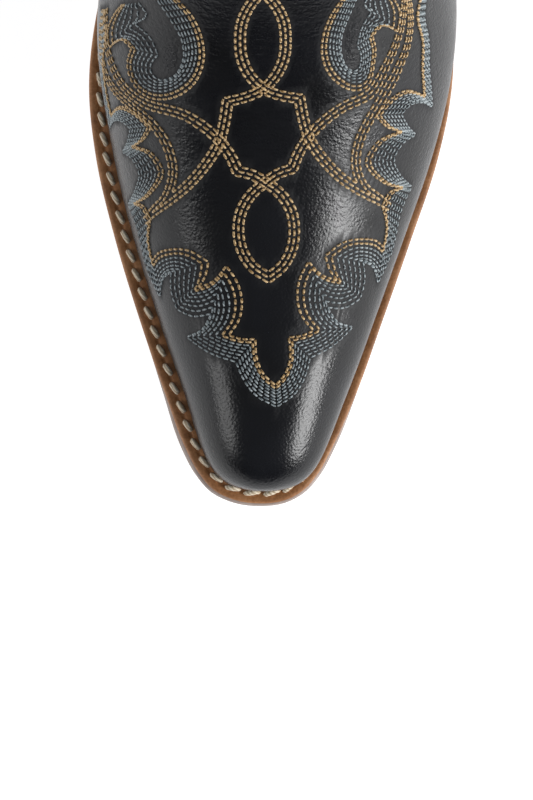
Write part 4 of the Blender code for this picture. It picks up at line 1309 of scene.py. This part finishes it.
def welt_stitches():
    stations = sole_stations(lambda s: s < WELT_END - 4.0)
    across, places = PLAN[stations].T
    tuck = smoothstep(*TUCK_RISE, places) * (1.0 - smoothstep(*TUCK_FALL, places)) * (across > 0.0)
    tucked = PLAN_INWARD[stations] * (LATERAL_TUCK * tuck)[:, None]
    outer = raised(inset_plan(WELT_GROOVE)[stations] + tucked, WELT_HIGH)
    inner = raised(inset_plan(WELT_GROOVE + WELT_SLANT)[stations] + tucked, WELT_HIGH)
    along = walked(outer)
    inner_along = walked(inner) * along[-1] / walked(inner)[-1]
    firsts = np.arange(1.0, along[-1] - WELT_PITCH, WELT_PITCH)
    starts = np.column_stack([np.interp(firsts, along, axis) for axis in outer.T])
    ends = np.column_stack([np.interp(firsts + WELT_STITCH_LENGTH, inner_along, axis) for axis in inner.T])
    ups = np.tile([0.0, 0.0, 1.0], (len(starts), 1))
    return starts, ends, ups


starts, ends, ups = welt_stitches()
lockstitch = stitch_mesh("welt_lockstitch", starts, ends, ups, WELT_THREAD_RADIUS, WELT_THREAD, 8)
finish_piece(lockstitch, stands_for=["welt_thread"])


# ----------------------------------------------------------- light and camera
def make_floor():
    bpy.ops.mesh.primitive_plane_add(size=FLOOR_SIZE, location=(0.0, 0.0, 0.0))
    floor = bpy.context.object
    floor.name = "studio_floor"
    material, tree, shader, place = new_finish("glowing_white_floor")
    colour = ramp(tree, noise(tree, place, 300.0), (0.3, linear("#bcbcbc")), (0.7, linear("#c2c2c2")))
    tree.links.new(colour, shader.inputs["Base Color"])
    shader.inputs["Roughness"].default_value = 0.9
    # Painted light: the floor glows by its own emission, most near the boot.
    shader.inputs["Emission Color"].default_value = linear("#ffffff")
    reach = add_node(tree, "ShaderNodeVectorMath", {0: place}, operation="LENGTH").outputs["Value"]
    glow = add_node(tree, "ShaderNodeMapRange", {"Value": reach, "To Min": FLOOR_GLOW, "To Max": FAR_GLOW,
                                                 "From Min": GLOW_NEAR, "From Max": GLOW_FAR})
    tree.links.new(glow.outputs["Result"], shader.inputs["Emission Strength"])
    floor.data.materials.append(material)


def area_light(name, place, target, size, power):
    lamp = bpy.data.lights.new(name, "AREA")
    lamp.shape = "RECTANGLE"
    lamp.size, lamp.size_y = size
    lamp.energy = power
    holder = bpy.data.objects.new(name, lamp)
    holder.location = place
    holder.rotation_euler = (Vector(target) - Vector(place)).to_track_quat("-Z", "Y").to_euler()
    bpy.context.scene.collection.objects.link(holder)


def make_world():
    """A bright horizon under a dark ceiling."""
    world = bpy.data.worlds.new("studio_room")
    world.use_nodes = True
    tree = world.node_tree
    direction = add_node(tree, "ShaderNodeTexCoord").outputs["Generated"]
    height = add_node(tree, "ShaderNodeSeparateXYZ", {"Vector": direction}).outputs["Z"]
    colour = ramp(tree, height, (0.0, linear("#b4b6ba")), (0.02, linear("#96989c")),
                  (0.08, linear("#3a3b3e")), (0.35, linear("#4c4d51")), (0.7, linear("#85888d")))
    tree.links.new(colour, tree.nodes["Background"].inputs["Color"])
    tree.nodes["Background"].inputs["Strength"].default_value = 1.0
    bpy.context.scene.world = world


FLOOR_SIZE = 40.0
# The floor glows with a painted light of its own, strongest near the boot and less so away from it
# (distances in metres).
FLOOR_GLOW, FAR_GLOW = 0.86, 0.3
GLOW_NEAR, GLOW_FAR = 0.3, 1.4
CAMERA_TARGET = (0.46, 28.6, 10.0)
CAMERA_DISTANCE = 1200.0
CAMERA_FORWARD_TILT = -3.0
CAMERA_SIDE_TILT = 3.5
CAMERA_ROLL = -0.5
CAMERA_LENS = 192.56


def make_camera():
    """Far above the toe with a long lens, leaning a little to the inner side."""
    data = bpy.data.cameras.new("studio_camera")
    data.lens = CAMERA_LENS
    data.sensor_width = 36.0
    data.clip_start, data.clip_end = 0.05, 20.0
    camera = bpy.data.objects.new("studio_camera", data)
    lean = [math.tan(math.radians(angle)) for angle in (CAMERA_SIDE_TILT, CAMERA_FORWARD_TILT)]
    back = Vector((-lean[0], -lean[1], 1.0)).normalized()
    roll = math.radians(CAMERA_ROLL)
    up = Vector((math.sin(roll), math.cos(roll), 0.0))
    up = (up - back * up.dot(back)).normalized()
    right = up.cross(back)
    place = Vector(to_world([CAMERA_TARGET])[0]) + back * CAMERA_DISTANCE * MM
    camera.matrix_world = Matrix((
        (right.x, up.x, back.x, place.x), (right.y, up.y, back.y, place.y),
        (right.z, up.z, back.z, place.z), (0.0, 0.0, 0.0, 1.0)))
    bpy.context.scene.collection.objects.link(camera)
    bpy.context.scene.camera = camera


make_floor()
make_world()
make_camera()
VAMP_MIDDLE = (0.0, -0.07, 0.05)
area_light("left_softbox", (-1.2, -0.5, 0.5), VAMP_MIDDLE, (0.5, 0.6), 5.0)
area_light("right_softbox", (1.1, -0.6, 0.5), VAMP_MIDDLE, (0.5, 0.5), 15.0)
bpy.context.scene.view_settings.view_transform = "Standard"
